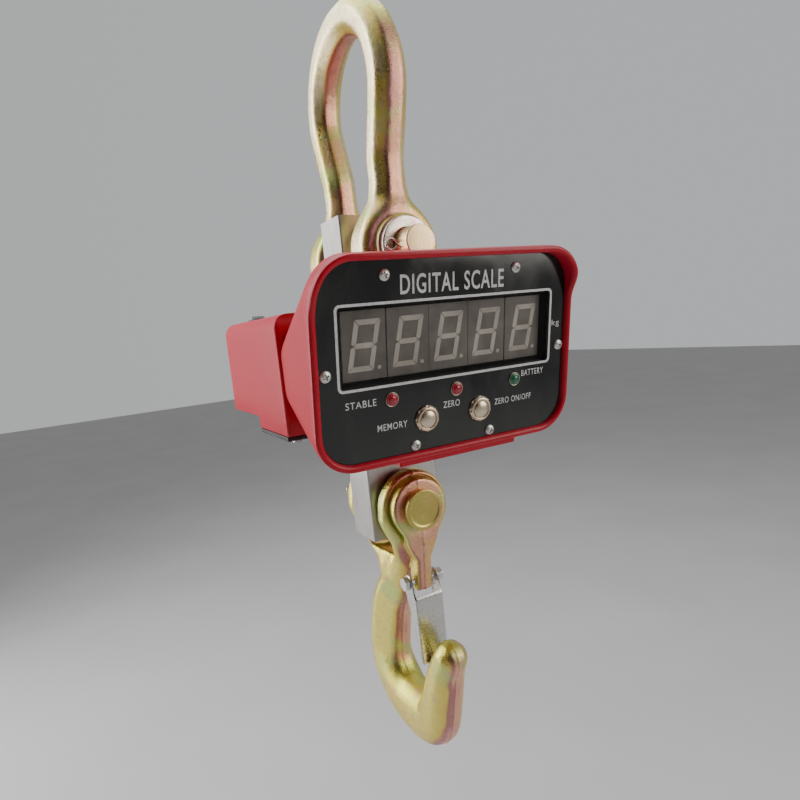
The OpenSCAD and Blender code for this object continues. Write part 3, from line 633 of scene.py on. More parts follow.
def nearest_on(line, y, z):
    """(offset to the left of the line, the line's values there) for points in the Y-Z plane."""
    y, z = np.broadcast_arrays(y, z)
    query = np.stack([y.ravel(), z.ravel()], 1).astype(np.float32)
    a, b = line[:-1].astype(np.float32), line[1:].astype(np.float32)
    run = (b - a)[:, :2]
    length = (run**2).sum(1)
    offset = np.empty(len(query), np.float32)
    values = np.empty((len(query), line.shape[1] - 2), np.float32)
    for i in range(0, len(query), 20000):
        q = query[i : i + 20000]
        rel = q[:, None] - a[None, :, :2]
        t = np.clip((rel * run).sum(2) / length, 0, 1)
        away = rel - t[..., None] * run
        far = (away**2).sum(2)
        best = far.argmin(1)
        rows = np.arange(len(q))
        near_t, near_run, near_away = t[rows, best], run[best], away[rows, best]
        side = np.sign(near_run[:, 0] * near_away[:, 1] - near_run[:, 1] * near_away[:, 0])
        offset[i : i + 20000] = side * np.sqrt(far[rows, best])
        values[i : i + 20000] = a[best, 2:] + near_t[:, None] * (b - a)[best, 2:]
    shape = y.shape
    return offset.reshape(shape), [values[:, k].reshape(shape) for k in range(values.shape[1])]


def skin(field, low, high, step):
    """Quads on the zero surface of field(x, y, z) inside a box, pulled onto it, as (points, faces)."""
    low, high = np.asarray(low, float), np.asarray(high, float)
    n = np.ceil((high - low) / step).astype(int) + 1
    x, y, z = (low[i] + step * np.arange(n[i]) for i in range(3))
    f = np.array(np.broadcast_to(field(x[:, None, None], y[None, :, None], z[None, None, :]), n))
    inside = f < 0
    corners = [
        inside[i : n[0] - 1 + i, j : n[1] - 1 + j, k : n[2] - 1 + k]
        for i in (0, 1)
        for j in (0, 1)
        for k in (0, 1)
    ]
    count = sum(c.astype(np.int8) for c in corners)
    mixed = (count > 0) & (count < 8)
    index = np.full(mixed.shape, -1)
    index[mixed] = np.arange(mixed.sum())
    cell = np.argwhere(mixed)
    total, hits = np.zeros((len(cell), 3)), np.zeros(len(cell))
    for axis in range(3):
        others = [i for i in range(3) if i != axis]
        for s in (0, 1):
            for t in (0, 1):
                at = cell.copy()
                at[:, others[0]] += s
                at[:, others[1]] += t
                to = at.copy()
                to[:, axis] += 1
                f0, f1 = f[tuple(at.T)], f[tuple(to.T)]
                cross = (f0 < 0) != (f1 < 0)
                part = np.where(cross, f0 / np.where(cross, f0 - f1, 1), 0)
                spot = at.astype(float)
                spot[:, axis] += part
                total += np.where(cross[:, None], spot, 0)
                hits += cross
    points = low + step * total / hits[:, None]
    faces = []
    for axis in range(3):
        u, v = (axis + 1) % 3, (axis + 2) % 3
        first = [slice(None)] * 3
        second = [slice(None)] * 3
        first[axis], second[axis] = slice(0, -1), slice(1, None)
        change = inside[tuple(first)] != inside[tuple(second)]
        at = np.argwhere(change)
        at = at[(at[:, u] > 0) & (at[:, v] > 0) & (at[:, u] < n[u] - 1) & (at[:, v] < n[v] - 1)]
        outward = inside[tuple(at.T)]
        quad = []
        for du, dv in ((-1, -1), (0, -1), (0, 0), (-1, 0)):
            c = at.copy()
            c[:, u] += du
            c[:, v] += dv
            quad.append(index[tuple(c.T)])
        quad = np.stack(quad, 1)
        quad[~outward] = quad[~outward][:, ::-1]
        faces.append(quad)
    for _ in range(2):
        points = points - pull(field, points, step)
    return points, np.vstack(faces)


def pull(field, points, step):
    """Newton step from points onto the zero surface of field, no longer than step."""
    x, y, z = points.T
    h = 0.15 * step
    grad = np.stack(
        [
            field(x + h, y, z) - field(x - h, y, z),
            field(x, y + h, z) - field(x, y - h, z),
            field(x, y, z + h) - field(x, y, z - h),
        ],
        1,
    ) / (2 * h)
    move = field(x, y, z)[:, None] * grad / np.maximum((grad**2).sum(1), 0.05)[:, None]
    size = np.linalg.norm(move, axis=1, keepdims=True)
    return move * np.minimum(1, 0.7 * step / np.maximum(size, 1e-9))


# ---------------------------------------------------------------- load line

UPPER_Z = centre_mm("shackle_pin")[2]
LOWER_Z = centre_mm("hook_pin")[2]
BAR = 12.5
CROWN_R = 54
PIN_R = 11
LATCH_Y, LATCH_Z = (v / MM for v in JOINTS["latch_swing"]["pos_m"][1:])


def bow_line():
    """Centre line of the bow as y, z, half depth, half width, up one leg and down the other."""
    crown_z = box_mm("shackle")[1][2] - BAR - CROWN_R
    leg = [
        (39.5, 8, 13.5, 19),
        (39.5, 22, 13.2, 18),
        (39.5, 34, 12.4, 14.5),
        (39.6, 46, BAR, 12.4),
        (40.3, 61, BAR, BAR),
        (43.3, 72, BAR, BAR),
        (46.7, 83, BAR, BAR),
        (50.5, 95, BAR, BAR),
        (53.2, 105, BAR, BAR),
    ]
    left = [(-y, UPPER_Z + h, depth, width) for y, h, depth, width in leg]
    right = [(y, UPPER_Z + h, depth, width) for y, h, depth, width in leg[::-1]]
    arc = [
        (CROWN_R * math.cos(a), crown_z + CROWN_R * math.sin(a), BAR, BAR)
        for a in np.radians(np.arange(180, -1, -12))
    ]
    return smooth_line(left + arc + right, 4)


def shackle_field():
    line = bow_line()

    def field(x, y, z):
        offset, (depth, width) = nearest_on(line, y, z)
        bow = (octagon(x / width, offset / depth, 18) - 1) * BAR
        r = np.hypot(x, z - UPPER_Z)
        eye = rounded_box(r, np.abs(y) - 40.5, 30, 12.5, 6.5)
        spacer = rounded_box(r, np.abs(y) - 25, 20, 5, 0.8)
        boss = rounded_box(r, np.abs(y) - 48.5, 21, 8.5, 1.6)
        body = smooth_min(smooth_min(smooth_min(bow, eye, 9), boss, 2), spacer, 1)
        return smooth_max(body, PIN_R + 0.06 - r, 1)

    return field


def make_shackle(paint):
    low, high = box_mm("shackle")
    points, faces = skin(shackle_field(), low - 2, high + 2, 1.0)
    add_piece(
        "shackle_forging", points, faces, "shackle", paint, ["shackle"], sharp=180,
        recalculate=False
    )


def polygon_distance(u, v, outline):
    """Signed distance from points to a closed polygon."""
    best, inside = np.full(np.broadcast(u, v).shape, np.inf), np.zeros(np.broadcast(u, v).shape, bool)
    for (au, av), (bu, bv) in zip(outline, np.roll(outline, -1, axis=0)):
        ru, rv = u - au, v - av
        du, dv = bu - au, bv - av
        t = np.clip((ru * du + rv * dv) / (du * du + dv * dv), 0, 1)
        best = np.minimum(best, np.hypot(ru - t * du, rv - t * dv))
        crosses = (av > v) != (bv > v)
        inside = inside ^ (crosses & (u < au + (v - av) * du / (dv if dv else 1e-9)))
    return np.where(inside, -best, best)


# Hook's centre line below the lower pin: y, drop, half depth, half width
HOOK_LINE = [
    (3, 44, 13, 13),
    (3, 52, 14.5, 13),
    (9, 70, 16, 14),
    (22.5, 91, 17.8, 16),
    (31, 117, 18.5, 16.8),
    (35, 141, 19.2, 16.8),
    (28.5, 160.5, 20, 16.4),
    (12, 173.3, 20, 15.6),
    (-12, 176.3, 20.4, 14.8),
    (-32, 171, 18.8, 14.6),
    (-42, 153.5, 16.3, 14.4),
    (-49, 134, 14.5, 13.9),
    (-55.5, 118, 12.8, 13),
    (-61.5, 107.5, 12, 12),
]


def hook_field():
    line = smooth_line([(y, LOWER_Z - drop, depth, width) for y, drop, depth, width in HOOK_LINE], 6)
    run = np.linspace(0, 1, len(line))
    line = np.column_stack([line, run])
    tail = [
        (-17, -8), (-12.5, -27), (-9.5, -34), (-6.4, -40), (-6.3, -64.5), (6.3, -64.5), (6.4, -40),
        (9.5, -34), (12.5, -27), (17, -8)
    ]
    arm_line = smooth_line(
        [
            (-27, LOWER_Z - 8, 7, 22), (-26, LOWER_Z - 26, 7, 20), (-18, LOWER_Z - 44, 8.5, 15),
            (-3, LOWER_Z - 60, 10, 12)
        ],
        5
    )

    seat_side, _ = nearest_on(line, np.array([-4.0]), np.array([LOWER_Z - 132.0]))
    inward = float(np.sign(seat_side[0]))

    def field(x, y, z):
        offset, (depth, width, along) = nearest_on(line, y, z)
        # the shank is a soft octagon that rounds off towards the seat and the tip
        soft = np.clip((along - 0.35) / 0.2, 0, 1) * np.clip((1.0 - along) / 0.35, 0.35, 1)
        u, v = x / width, offset / depth
        shank = octagon(u, v, 18)
        inner = v * inward
        wedge = smooth_max(shank, 1.07 * np.abs(u) + 0.465 * inner, 0.05)
        bevelled = np.clip((along - 0.02) / 0.08, 0, 1) * np.clip((0.5 - along) / 0.12, 0, 1)
        shank = shank + (wedge - shank) * bevelled
        bowl = (np.abs(u) ** 2.5 + np.abs(v) ** 2.5 + 1e-9) ** 0.4
        main = (shank + soft * (bowl - shank) - 1) * np.minimum(depth, width)
        drop = z - LOWER_Z
        r = np.hypot(x, drop)
        ear = rounded_box(r, np.abs(y) - 27, 27.5, 7, 5)
        back_boss = rounded_box(r, y - 34, 22, 6, 1.5)
        arm_offset, (arm_depth, arm_width) = nearest_on(arm_line, -np.abs(y), z)
        arm = (octagon(x / arm_width, arm_offset / arm_depth, 8) - 1) * arm_depth
        fork = smooth_min(ear, arm, 7)
        fork = smooth_min(fork, back_boss, 1.5)
        main = smooth_min(main, fork, 8)
        # front boss with its tail down to the latch's lug, standing on the fork with a cut groove round it
        plan = smooth_min(r - 22.4, polygon_distance(x, drop, tail), 4)
        ridge = 0.16 * np.maximum(0, 9 - np.abs(x)) * np.clip((-drop - 18) / 10, 0, 1)
        front = -40 + 5.2 * np.clip((-drop - 20) / 44, 0, 1) - ridge
        back = np.where(drop < -44, -24.5, -27)
        boss = smooth_max(smooth_max(plan, front - y, 2.4), y - back, 2)
        groove = smooth_max(np.abs(plan - 1.0) - 0.9, y + 30.5, 0.8)
        main = smooth_max(main, -groove, 0.8)
        main = smooth_min(main, boss, 0.8)
        # space for the load cell, and the bores
        gap = smooth_max(r - 43, np.abs(y) - 20, 3)
        main = smooth_max(main, -gap, 2.5)
        main = smooth_max(main, PIN_R + 0.06 - r, 0.8)
        lug_hole = 3.08 - np.hypot(y - LATCH_Y, z - LATCH_Z)
        main = smooth_max(main, np.where(y < LATCH_Y + 8, lug_hole, -50), 0.5)
        # parting line round the middle
        return main - 0.35 * np.exp(-((x / 0.7) ** 2))

    return field


def make_hook(paint):
    low, high = box_mm("hook")
    points, faces = skin(hook_field(), low - 2, high + 2, 1.0)
    add_piece(
        "hook_forging", points, faces, "hook", paint, ["hook"], sharp=180,
        recalculate=False
    )


def edge_profile(points, radius):
    """Profile of a turned solid with rounded outer corners; its first and last points stay as they are."""
    out = [np.array(points[0], float)]
    for before, p, after in zip(points, points[1:], points[2:]):
        p, before, after = np.array(p, float), np.array(before, float), np.array(after, float)
        a = p + (before - p) / np.linalg.norm(before - p) * radius
        b = p + (after - p) / np.linalg.norm(after - p) * radius
        for t in (0, 0.25, 0.5, 0.75, 1):
            out.append((1 - t) ** 2 * a + 2 * t * (1 - t) * p + t**2 * b)
    out.append(np.array(points[-1], float))
    return out


def make_pins(paints):
    shackle_low, shackle_high = box_mm("shackle_pin")
    head_y = shackle_high[1] - 6
    front = shackle_low[1]
    profile = edge_profile(
        [(2, front), (PIN_R, front), (PIN_R, head_y), (15, head_y), (15, head_y + 6), (2, head_y + 6)],
        0.9
    )
    points, faces = lathe(profile, 96, (0, UPPER_Z))
    add_piece(
        "shackle_pin_turned", points, faces, "shackle", paints["pin_upper"],
        ["shackle_pin"]
    )
    low, high = box_mm("hook_pin")
    head = low[1]
    dish = [
        (2, head + 0.5), (11.5, head + 0.5), (12.4, head), (15, head), (15, head + 6),
        (PIN_R, head + 6), (PIN_R, high[1]), (2, high[1])
    ]
    points, faces = lathe(edge_profile(dish, 0.55), 96, (0, LOWER_Z))
    add_piece("hook_pin_turned", points, faces, "hook", paints["pin_lower"], ["hook_pin"])
    for node, z, body in (("shackle_washer", UPPER_Z, "shackle"), ("hook_washer", LOWER_Z, "hook")):
        low, high = box_mm(node)
        outer = high[0]
        ring = rounded_outline([(11.6, low[1]), (outer, low[1]), (outer, high[1]), (11.6, high[1])], 0.9, 4)
        points, faces = lathe(ring, 96, (0, z), closed=True)
        add_piece(node + "_turned", points, faces, body, paints["washer"], [node])


def tube(path, radius, sides=12):
    """Round wire along a smooth path, as (points, faces)."""
    path = np.asarray(path, float)
    ahead = np.gradient(path, axis=0)
    ahead /= np.linalg.norm(ahead, axis=1)[:, None]
    u = np.cross(ahead[0], (0.3, 1.0, 0.2))
    rings = []
    for p, d in zip(path, ahead):
        u = u - d * (u @ d)
        u /= np.linalg.norm(u)
        v = np.cross(d, u)
        a = np.linspace(0, 2 * np.pi, sides, endpoint=False)
        rings.append(p + radius * (np.cos(a)[:, None] * u + np.sin(a)[:, None] * v))
    return loft(rings)


def make_cotter(name, node, z, body, paint):
    """Split pin: a drop-shaped eye on the left, two legs through the pin, spread at their ends."""
    low, high = box_mm(node)
    y = (low[1] + high[1]) / 2
    eye_x, wire = low[0] + 4.35, 0.75
    eye_r = 3.6
    shapes = []
    for side in (1, -1):
        turn = [math.radians(a) for a in range(180, 24, -12)]
        eye = [(eye_x + eye_r * math.cos(a) * 1.1, side * eye_r * math.sin(a)) for a in turn]
        leg = [
            (eye_x + 5.6, side * 0.82), (eye_x + 8, side * 0.77), (0, side * 0.77),
            (PIN_R + 1, side * 0.77)
        ]
        spread = [(PIN_R + 2.5, side * 1.2), (PIN_R + 3.6, side * 1.9)]
        line = smooth_line([(x, y + w * 0.05, z + w) for x, w in eye + leg + spread], 4)
        shapes.append(tube(line, wire))
    points, faces = join_shapes(shapes)
    points[:, 2] = np.clip(points[:, 2], z - 8, z + 8)
    add_piece(name, points, faces, body, paint, [node], sharp=60)


def latch_outline():
    """Side view of the latch as (y, z): ear round the bolt, folded top edge, tip and back edge."""
    top, tip = LATCH_Z - 9, box_mm("latch")[0][2]
    ear = [(LATCH_Y + 6.5 * math.cos(a), LATCH_Z + 6.5 * math.sin(a)) for a in np.radians(range(0, 181, 20))]
    rest = [
        (-37.6, LATCH_Z - 6), (-39.4, top - 2), (-40, tip), (-37.2, tip), (-29.5, LATCH_Z - 26),
        (LATCH_Y + 6.5, LATCH_Z - 7)
    ]
    return np.array(ear + rest)


def make_latch(paint):
    low, high = box_mm("latch")
    half, sheet = high[0], 1.5
    outline = latch_outline()
    top = LATCH_Z - 9
    tip = low[2]

    def field(x, y, z):
        side = polygon_distance(y, z, outline)
        taper = half - 0.05 - 0.5 * np.clip((top - z) / (top - tip), 0, 1)
        outer = smooth_max(side, np.abs(x) - taper, 1.6)
        channel = np.maximum(np.abs(x) - taper + sheet, -(y + 40 - sheet - 0.35))
        shell = smooth_max(outer, -channel, 0.5)
        above = np.maximum(np.abs(x) - taper + sheet, top - z)
        shell = smooth_max(shell, -above, 0.5)
        return smooth_max(shell, 3.08 - np.hypot(y - LATCH_Y, z - LATCH_Z), 0.3)

    points, faces = skin(field, low - 1, high + 1, 0.5)
    add_piece(
        "latch_plate", points, faces, "latch", paint, ["latch"], sharp=50,
        recalculate=False
    )


# ---------------------------------------------------------------- housings

TILT = math.atan2(JOINTS["recall_press"]["axis"][2], JOINTS["recall_press"]["axis"][1])
PANEL_T = 3
BEZEL_UP = 0.9
BEZEL = (190, 127, 25)


def tilt(points):
    """Panel axes (x, depth, up) turned into the row's axes."""
    points = np.asarray(points, float)
    c, s = math.cos(TILT), math.sin(TILT)
    return np.stack(
        [points[:, 0], points[:, 1] * c - points[:, 2] * s, points[:, 1] * s + points[:, 2] * c], 1
    )


PANEL_ORIGIN = centre_mm("front_panel") - tilt([(0, PANEL_T / 2, BEZEL_UP)])[0]


def on_panel(points, x=0.0, up=0.0):
    """Points set out as (x, depth, up) round a spot of the panel's face, put in place."""
    return tilt(np.asarray(points, float) + (x, 0, up)) + PANEL_ORIGIN


def front_depth(up, x):
    """Depth of the bezel's front edge: the visor stands out over the top and fades on the sides."""
    t = np.clip((up - 28) / 22, 0, 1)
    crown = np.clip(1 - (np.abs(x) / 95) ** 4, 0, 1)
    return -3 - (6.4 + 1.6 * crown) * t * t * (3 - 2 * t)


def make_front_housing(paint):
    width, height, radius = BEZEL
    steps = {"corner_steps": 12, "side_steps": 28, "up": BEZEL_UP}

    def ring(inset, depth, front_share=0.0):
        flat = round_rect(width - 2 * inset, height - 2 * inset, radius - inset, **steps)
        shift = front_depth(flat[:, 1], flat[:, 0]) + 3
        return on_panel(np.stack([flat[:, 0], depth + front_share * shift, flat[:, 1]], 1))

    back_y = box_mm("front_housing")[1][1]
    neck_z = UPPER_Z - 77

    def neck(inset, y):
        flat = round_rect(176 - 2 * inset, 62 - 2 * inset, 20 - inset, corner_steps=12, side_steps=28)
        return np.stack([flat[:, 0], np.full(len(flat), y), neck_z + flat[:, 1]], 1)

    outer = [neck(0.5, back_y), neck(0, back_y - 0.6)]
    outer += [neck(0, back_y - 0.6) * (1 - t) + ring(0, 2.5) * t for t in (0.25, 0.5, 0.75, 0.92)]
    lip = [
        (0.0, 1.5, 0), (0.0, -1.0, 0.7), (0.15, -2.0, 0.9), (0.6, -2.6, 1), (1.3, -3.0, 1),
        (2.2, -3.1, 1), (3.1, -2.9, 1)
    ]
    lip += [(3.9, -2.3, 1), (4.35, -1.6, 0.95), (4.5, -0.7, 0.8), (4.5, 0.4, 0.2), (4.5, 3.0, 0)]
    rim = [ring(*step) for step in lip]
    flat = round_rect(160, 92, 12, corner_steps=12, side_steps=28, up=-2)
    ledge = [on_panel(np.stack([flat[:, 0], np.full(len(flat), d), flat[:, 1]], 1)) for d in (3.05, 6.5)]
    cavity = round_rect(176, 114, 19, **steps)
    inner = [
        on_panel(np.stack([cavity[:, 0], np.full(len(cavity), 6.6), cavity[:, 1]], 1)),
        neck(3.5, back_y)
    ]
    points, faces = loft(outer + rim + ledge + inner, loop=True)
    add_piece("front_shell", points, faces, "scale", paint, ["front_housing"], sharp=28)
    lip_outline = rounded_outline([(-1.6, -66.0), (6.5, -66.0), (6.5, -61), (-1.6, -61)], [0.9, 0.9, 0, 0], 4)
    stations = [(-40.5, 0.8), (-39.7, 0.0), (48.7, 0.0), (49.5, 0.8)]
    rings = []
    for x, cut in stations:
        rings.append(on_panel([(x, d + cut * (d < 0), max(u, -66.0 + cut)) for d, u in lip_outline]))
    points, faces = loft(rings)
    add_piece("front_lip", points, faces, "scale", paint)


def make_rear_housing(paint):
    """Box with rounded back corners and top edges, and a deeper part at the front."""
    low, high = box_mm("rear_housing")
    half_w, front, back, top = high[0], low[1], high[1], high[2]
    step_y, floor_z, step_z = 34, UPPER_Z - 110, low[2]
    corner, edge, front_r = 14, 10, 3

    def plan(inset):
        """Outline from above as (x, y), with two points at the step on each side."""
        w, c, f = half_w - inset, max(corner - inset, 3), max(front_r - inset, 1)
        y0, y1 = front + min(inset, front_r), back - inset
        out = []
        spots = [(w, y1, c, 0), (-w, y1, c, 90), (-w, y0, f, 180), (w, y0, f, 270)]
        for i, (x, y, r, start) in enumerate(spots):
            cx, cy = x - math.copysign(r, x), y - math.copysign(r, y - (y0 + y1) / 2)
            out += [
                (cx + r * math.cos(math.radians(a)), cy + r * math.sin(math.radians(a)))
                for a in np.linspace(start, start + 90, 9)
            ]
            if i == 1:
                out += [(-w, step_y + 0.6), (-w, step_y - 0.6)]
            if i == 3:
                out += [(w, step_y - 0.6), (w, step_y + 0.6)]
        return np.array(out)

    def ring(inset, z, bottom=False):
        flat = plan(inset)
        z_here = np.where(flat[:, 1] > step_y, floor_z, step_z) + z if bottom else np.full(len(flat), z)
        return np.column_stack([flat, z_here])

    rings = [ring(1.5, 0.0, True), ring(0.5, 0.4, True), ring(0, 1.5, True)]
    rings += [ring(0, z) for z in (floor_z + 12, top - edge - 10)]
    rings += [
        ring(edge * (1 - math.cos(a)), top - edge * (1 - math.sin(a)))
        for a in np.radians(np.linspace(0, 90, 9))
    ]
    n = len(rings[0])
    points, faces = loft(rings)
    faces = faces[:-2]
    flat = plan(1.5)
    front_side = [i for i in range(n) if flat[i, 1] < step_y]
    start = next(k for k, i in enumerate(front_side) if (i - 1) % n not in front_side)
    front_side = front_side[start:] + front_side[:start]
    back_side = [(front_side[-1] + 1 + k) % n for k in range(n - len(front_side))]
    faces.append(front_side)
    faces.append(back_side)
    faces.append([front_side[0], front_side[-1], back_side[0], back_side[-1]])
    last = len(points) - n
    faces.append([last + i for i in range(n)])
    add_piece("rear_shell", points, faces, "scale", paint, ["rear_housing"], sharp=40)


# ---------------------------------------------------------------- display

FRAME_UP = 11.35
FRAME = (158, 50.4)
FRAME_LINE = 1.6
DIGIT_W, DIGIT_H = 29, 41.5
DIGIT_FACE = 6
SLANT = math.tan(math.radians(10.5))
LAMP_UP = -21.7
KEY_UP = -37.7
KEY_NOTCHES = 8


def flat_ring(outer, inner, low, high):
    """Ring between two outlines of equal length, as thin as print, on the panel."""
    rings = [
        on_panel(np.stack([o[:, 0], np.full(len(o), d), o[:, 1]], 1))
        for o, d in ((outer, high), (outer, low), (inner, low), (inner, high))
    ]
    return loft(rings, loop=True)


def make_panel_print(paint):
    outer = round_rect(*FRAME, 3.4, 8, 2, FRAME_UP)
    inner = round_rect(FRAME[0] - 2 * FRAME_LINE, FRAME[1] - 2 * FRAME_LINE, 2.0, 8, 2, FRAME_UP)
    points, faces = flat_ring(outer, inner, -0.06, 0.4)
    add_piece("print_frame", points, faces, "scale", paint)
    words = [
        ("heading", "DIGITAL SCALE", 0.5, 45.4, 11.5, 75, 0.014),
        ("steady_word", "STABLE", -64.8, -21.8, 4.3, 20, 0.006),
        ("tare_word", "ZERO", -1.6, -31.0, 4.3, 12.5, 0.006),
        ("charge_word", "BATTERY", 64.2, -18.6, 4.1, 19, 0.006),
        ("recall_word", "MEMORY", -44.4, -38.4, 4.3, 20.5, 0.006),
        ("tare_key_word", "ZERO ON/OFF", 48.0, -35.2, 4.1, 31, 0.006),
        ("unit", "kg", 83.2, 12.5, 5.2, 6.6, 0.0),
    ]
    for name, text, x, up, height, width, weight in words:
        points, faces = lettering(text, height, width, weight)
        add_piece("print_" + name, on_panel(points, x, up), faces, "scale", paint)


def lettering(text, height, width, weight):
    """Plain capitals as (points, faces) about their middle, on the panel's face."""
    curve = bpy.data.curves.new("text", "FONT")
    curve.body = text
    curve.align_x, curve.align_y = "CENTER", "CENTER"
    curve.size = 1
    curve.offset = weight
    curve.resolution_u = 4
    curve.space_character = 1.12
    curve.extrude = 0.5
    carrier = bpy.data.objects.new("text", curve)
    bpy.context.scene.collection.objects.link(carrier)
    bpy.context.view_layer.update()
    mesh = carrier.to_mesh()
    flat = np.array([v.co for v in mesh.vertices])
    faces = [list(p.vertices) for p in mesh.polygons]
    carrier.to_mesh_clear()
    bpy.data.objects.remove(carrier)
    middle = (flat.min(0) + flat.max(0)) / 2
    span = flat.max(0) - flat.min(0)
    flat = (flat - middle) / span
    return np.stack([flat[:, 0] * width, -0.03 - 0.06 * flat[:, 2], flat[:, 1] * height], 1), faces


def segment_outlines():
    """The seven segments of an upright digit as lists of (x, up)."""
    a, b, s, g = 8.4, 15.2, 3.1, 0.28
    top = [(-a + 1.4 * g, b), (a - 1.4 * g, b), (a - s - 0.4 * g, b - s), (-a + s + 0.4 * g, b - s)]
    middle = [(-a + s / 2 + g, 0), (-a + s + 0.6 * g, s / 2), (a - s - 0.6 * g, s / 2), (a - s / 2 - g, 0)]
    middle += [(a - s - 0.6 * g, -s / 2), (-a + s + 0.6 * g, -s / 2)]
    side = [
        (a, b - 1.4 * g), (a, s / 2 - 0.3), (a - s / 2, g), (a - s, s / 2 + 1.2 * g),
        (a - s, b - s - 1.4 * g)
    ]
    flip = [(1, 1), (-1, 1), (1, -1), (-1, -1)]
    sides = [[(fx * x, fu * u) for x, u in side] for fx, fu in flip]
    return [top, [(x, -u) for x, u in top], middle] + sides


def make_digits(paints):
    centre = [1.012 * centre_mm(f"digit_{i}")[0] + 0.35 for i in range(1, 6)]
    back = DIGIT_FACE + 9
    for i, x in enumerate(centre):
        sink = 0.25 * math.sin(4.1 * i + 1)
        front = DIGIT_FACE + 0.25 + sink
        outline = round_rect(DIGIT_W + 0.28, DIGIT_H, 0.5, 3, 1)
        inner = round_rect(DIGIT_W - 0.32, DIGIT_H - 0.6, 0.3, 3, 1)

        def place(u, v, depth):
            return (u, depth, v)

        rings = [inner, outline, outline, inner]
        depths = [front, front + 0.3, back - 0.3, back]
        shape = loft([np.stack([o[:, 0], np.full(len(o), d), o[:, 1]], 1) for o, d in zip(rings, depths)])
        add_piece(
            f"digit_{i + 1}_module", on_panel(shape[0], x, FRAME_UP), shape[1], "scale",
            paints["digit"], [f"digit_{i + 1}"]
        )
        shapes = []
        for outline in segment_outlines():
            slanted = [(u + SLANT * v, v) for u, v in outline]
            shapes.append(prism(slanted, front - 0.12, front + 0.4, place))
        dot = [
            (9.6 + 1.25 * math.cos(a), -13.8 + 1.25 * math.sin(a))
            for a in np.linspace(0, 2 * np.pi, 20, endpoint=False)
        ]
        shapes.append(prism(dot, front - 0.12, front + 0.4, place))
        points, faces = join_shapes(shapes)
        add_piece(
            f"digit_{i + 1}_segments", on_panel(points, x, FRAME_UP), faces, "scale",
            paints["segment"]
        )


def make_shade_shroud(paint):
    """Painted shade: black walls and plate behind the window, a dark sheet standing in for the shade of the
    recess, so that only the digits show through it.
    """
    opening = (FRAME[0] - 2 * FRAME_LINE - 0.4, FRAME[1] - 2 * FRAME_LINE - 0.4)
    rings = []
    for outset, depth in ((1.0, 2.2), (1.0, 14.4), (3.6, 14.4), (3.6, 2.2)):
        flat = round_rect(opening[0] + 2 * outset - 2.4, opening[1] + 2 * outset - 2.4, 1.0, 4, 1, FRAME_UP)
        rings.append(on_panel(np.stack([flat[:, 0], np.full(len(flat), depth), flat[:, 1]], 1)))
    walls = loft(rings, loop=True)
    flat = round_rect(opening[0] + 2, opening[1] + 2, 1.0, 4, 1, FRAME_UP)
    plate = loft(
        [on_panel(np.stack([flat[:, 0], np.full(len(flat), d), flat[:, 1]], 1)) for d in (13.2, 14.2)]
    )
    points, faces = join_shapes([walls, plate])
    add_piece("display_painted_shade", points, faces, "scale", paint)


def make_lamps(paints):
    for node, tint in (("steady_led", "lamp_red"), ("tare_led", "lamp_red"), ("charge_led", "lamp_green")):
        x = centre_mm(node)[0]
        dome = [
            (3.6, 3.0), (3.6, -0.4), (3.95, -0.45), (3.95, -0.95), (3.6, -1.25), (2.75, -1.3),
            (2.5, -1.7)
        ]
        dome += [(2.45 * math.cos(a), -1.6 - 0.85 * math.sin(a)) for a in np.radians(range(12, 90, 13))]
        shape = lathe(dome[::-1] + [(3.0, 4.5), (1.0, 7.5)], 40)
        name = node.split("_")[0]
        add_piece(
            name + "_lens", on_panel(shape[0], x, LAMP_UP), shape[1], "scale", paints[tint],
            [node], sharp=50
        )
    shapes = []
    for node in ("steady_led", "tare_led", "charge_led"):
        ring = rounded_outline(
            [
                (3.65, 4.0), (3.65, -0.3), (4.02, -0.35), (4.02, -0.8),
                (4.4, -0.8), (4.4, 0.0), (3.75, 0.3), (3.75, 4.0),
            ][::-1
            ],
            [0.02, 0.02, 0.02, 0.1, 0.2, 0.2, 0.02, 0.02], 3
        )
        shape = lathe(ring, 40, closed=True)
        shapes.append((on_panel(shape[0], centre_mm(node)[0], LAMP_UP), shape[1]))
    points, faces = join_shapes(shapes)
    add_piece("lamp_rings", points, faces, "scale", paints["champagne"], ["led_holders"], sharp=50)


def make_buttons(paints):
    def ring_field(x, y, z):
        r = np.hypot(x, z)
        ring = rounded_box(r - 7.2, y + 0.9, 1.3, 1.6, 0.5)
        cone = (r - 7.4) * 0.75 - (y + 2.35) * 0.66
        ring = smooth_max(ring, cone, 0.5)
        turn = np.arctan2(z, x) * KEY_NOTCHES / (2 * np.pi)
        across = (turn - np.round(turn)) * 2 * np.pi / KEY_NOTCHES * r
        notch = np.maximum(np.maximum(np.abs(across) - 0.75, 7.5 - r), y + 1.0)
        return smooth_max(ring, -notch, 0.25)

    ring_points, ring_faces = skin(ring_field, (-9, -3, -9), (9, 1.2, 9), 0.3)
    for name, body in (("recall", "recall_button"), ("tare", "tare_button")):
        x = centre_mm(name + "_cap")[0]
        barrel = lathe([(6.4, -1.0), (6.4, -0.4), (7.9, -0.4), (7.9, 19.6), (7.5, 20), (2, 20)], 48)
        points, faces = join_shapes([(ring_points, ring_faces.tolist()), barrel])
        add_piece(
            name + "_bezel", on_panel(points, x, KEY_UP), faces, "scale",
            paints["champagne"], [name + "_switch"], sharp=40
        )
        front = -3.8
        cap = [
            (5.72 * math.sin(a), front + 1.15 * (1 - math.cos(a)) * 1.6)
            for a in np.radians([4, 14, 26, 38, 50, 62, 74])
        ]
        cap += [(5.72, front + 1.9), (5.72, front + 5.6), (5.2, front + 6), (2, front + 6)]
        shape = lathe(cap, 64)
        add_piece(
            name + "_dome", on_panel(shape[0], x, KEY_UP), shape[1], body,
            paints["champagne"], [name + "_cap"], sharp=50
        )


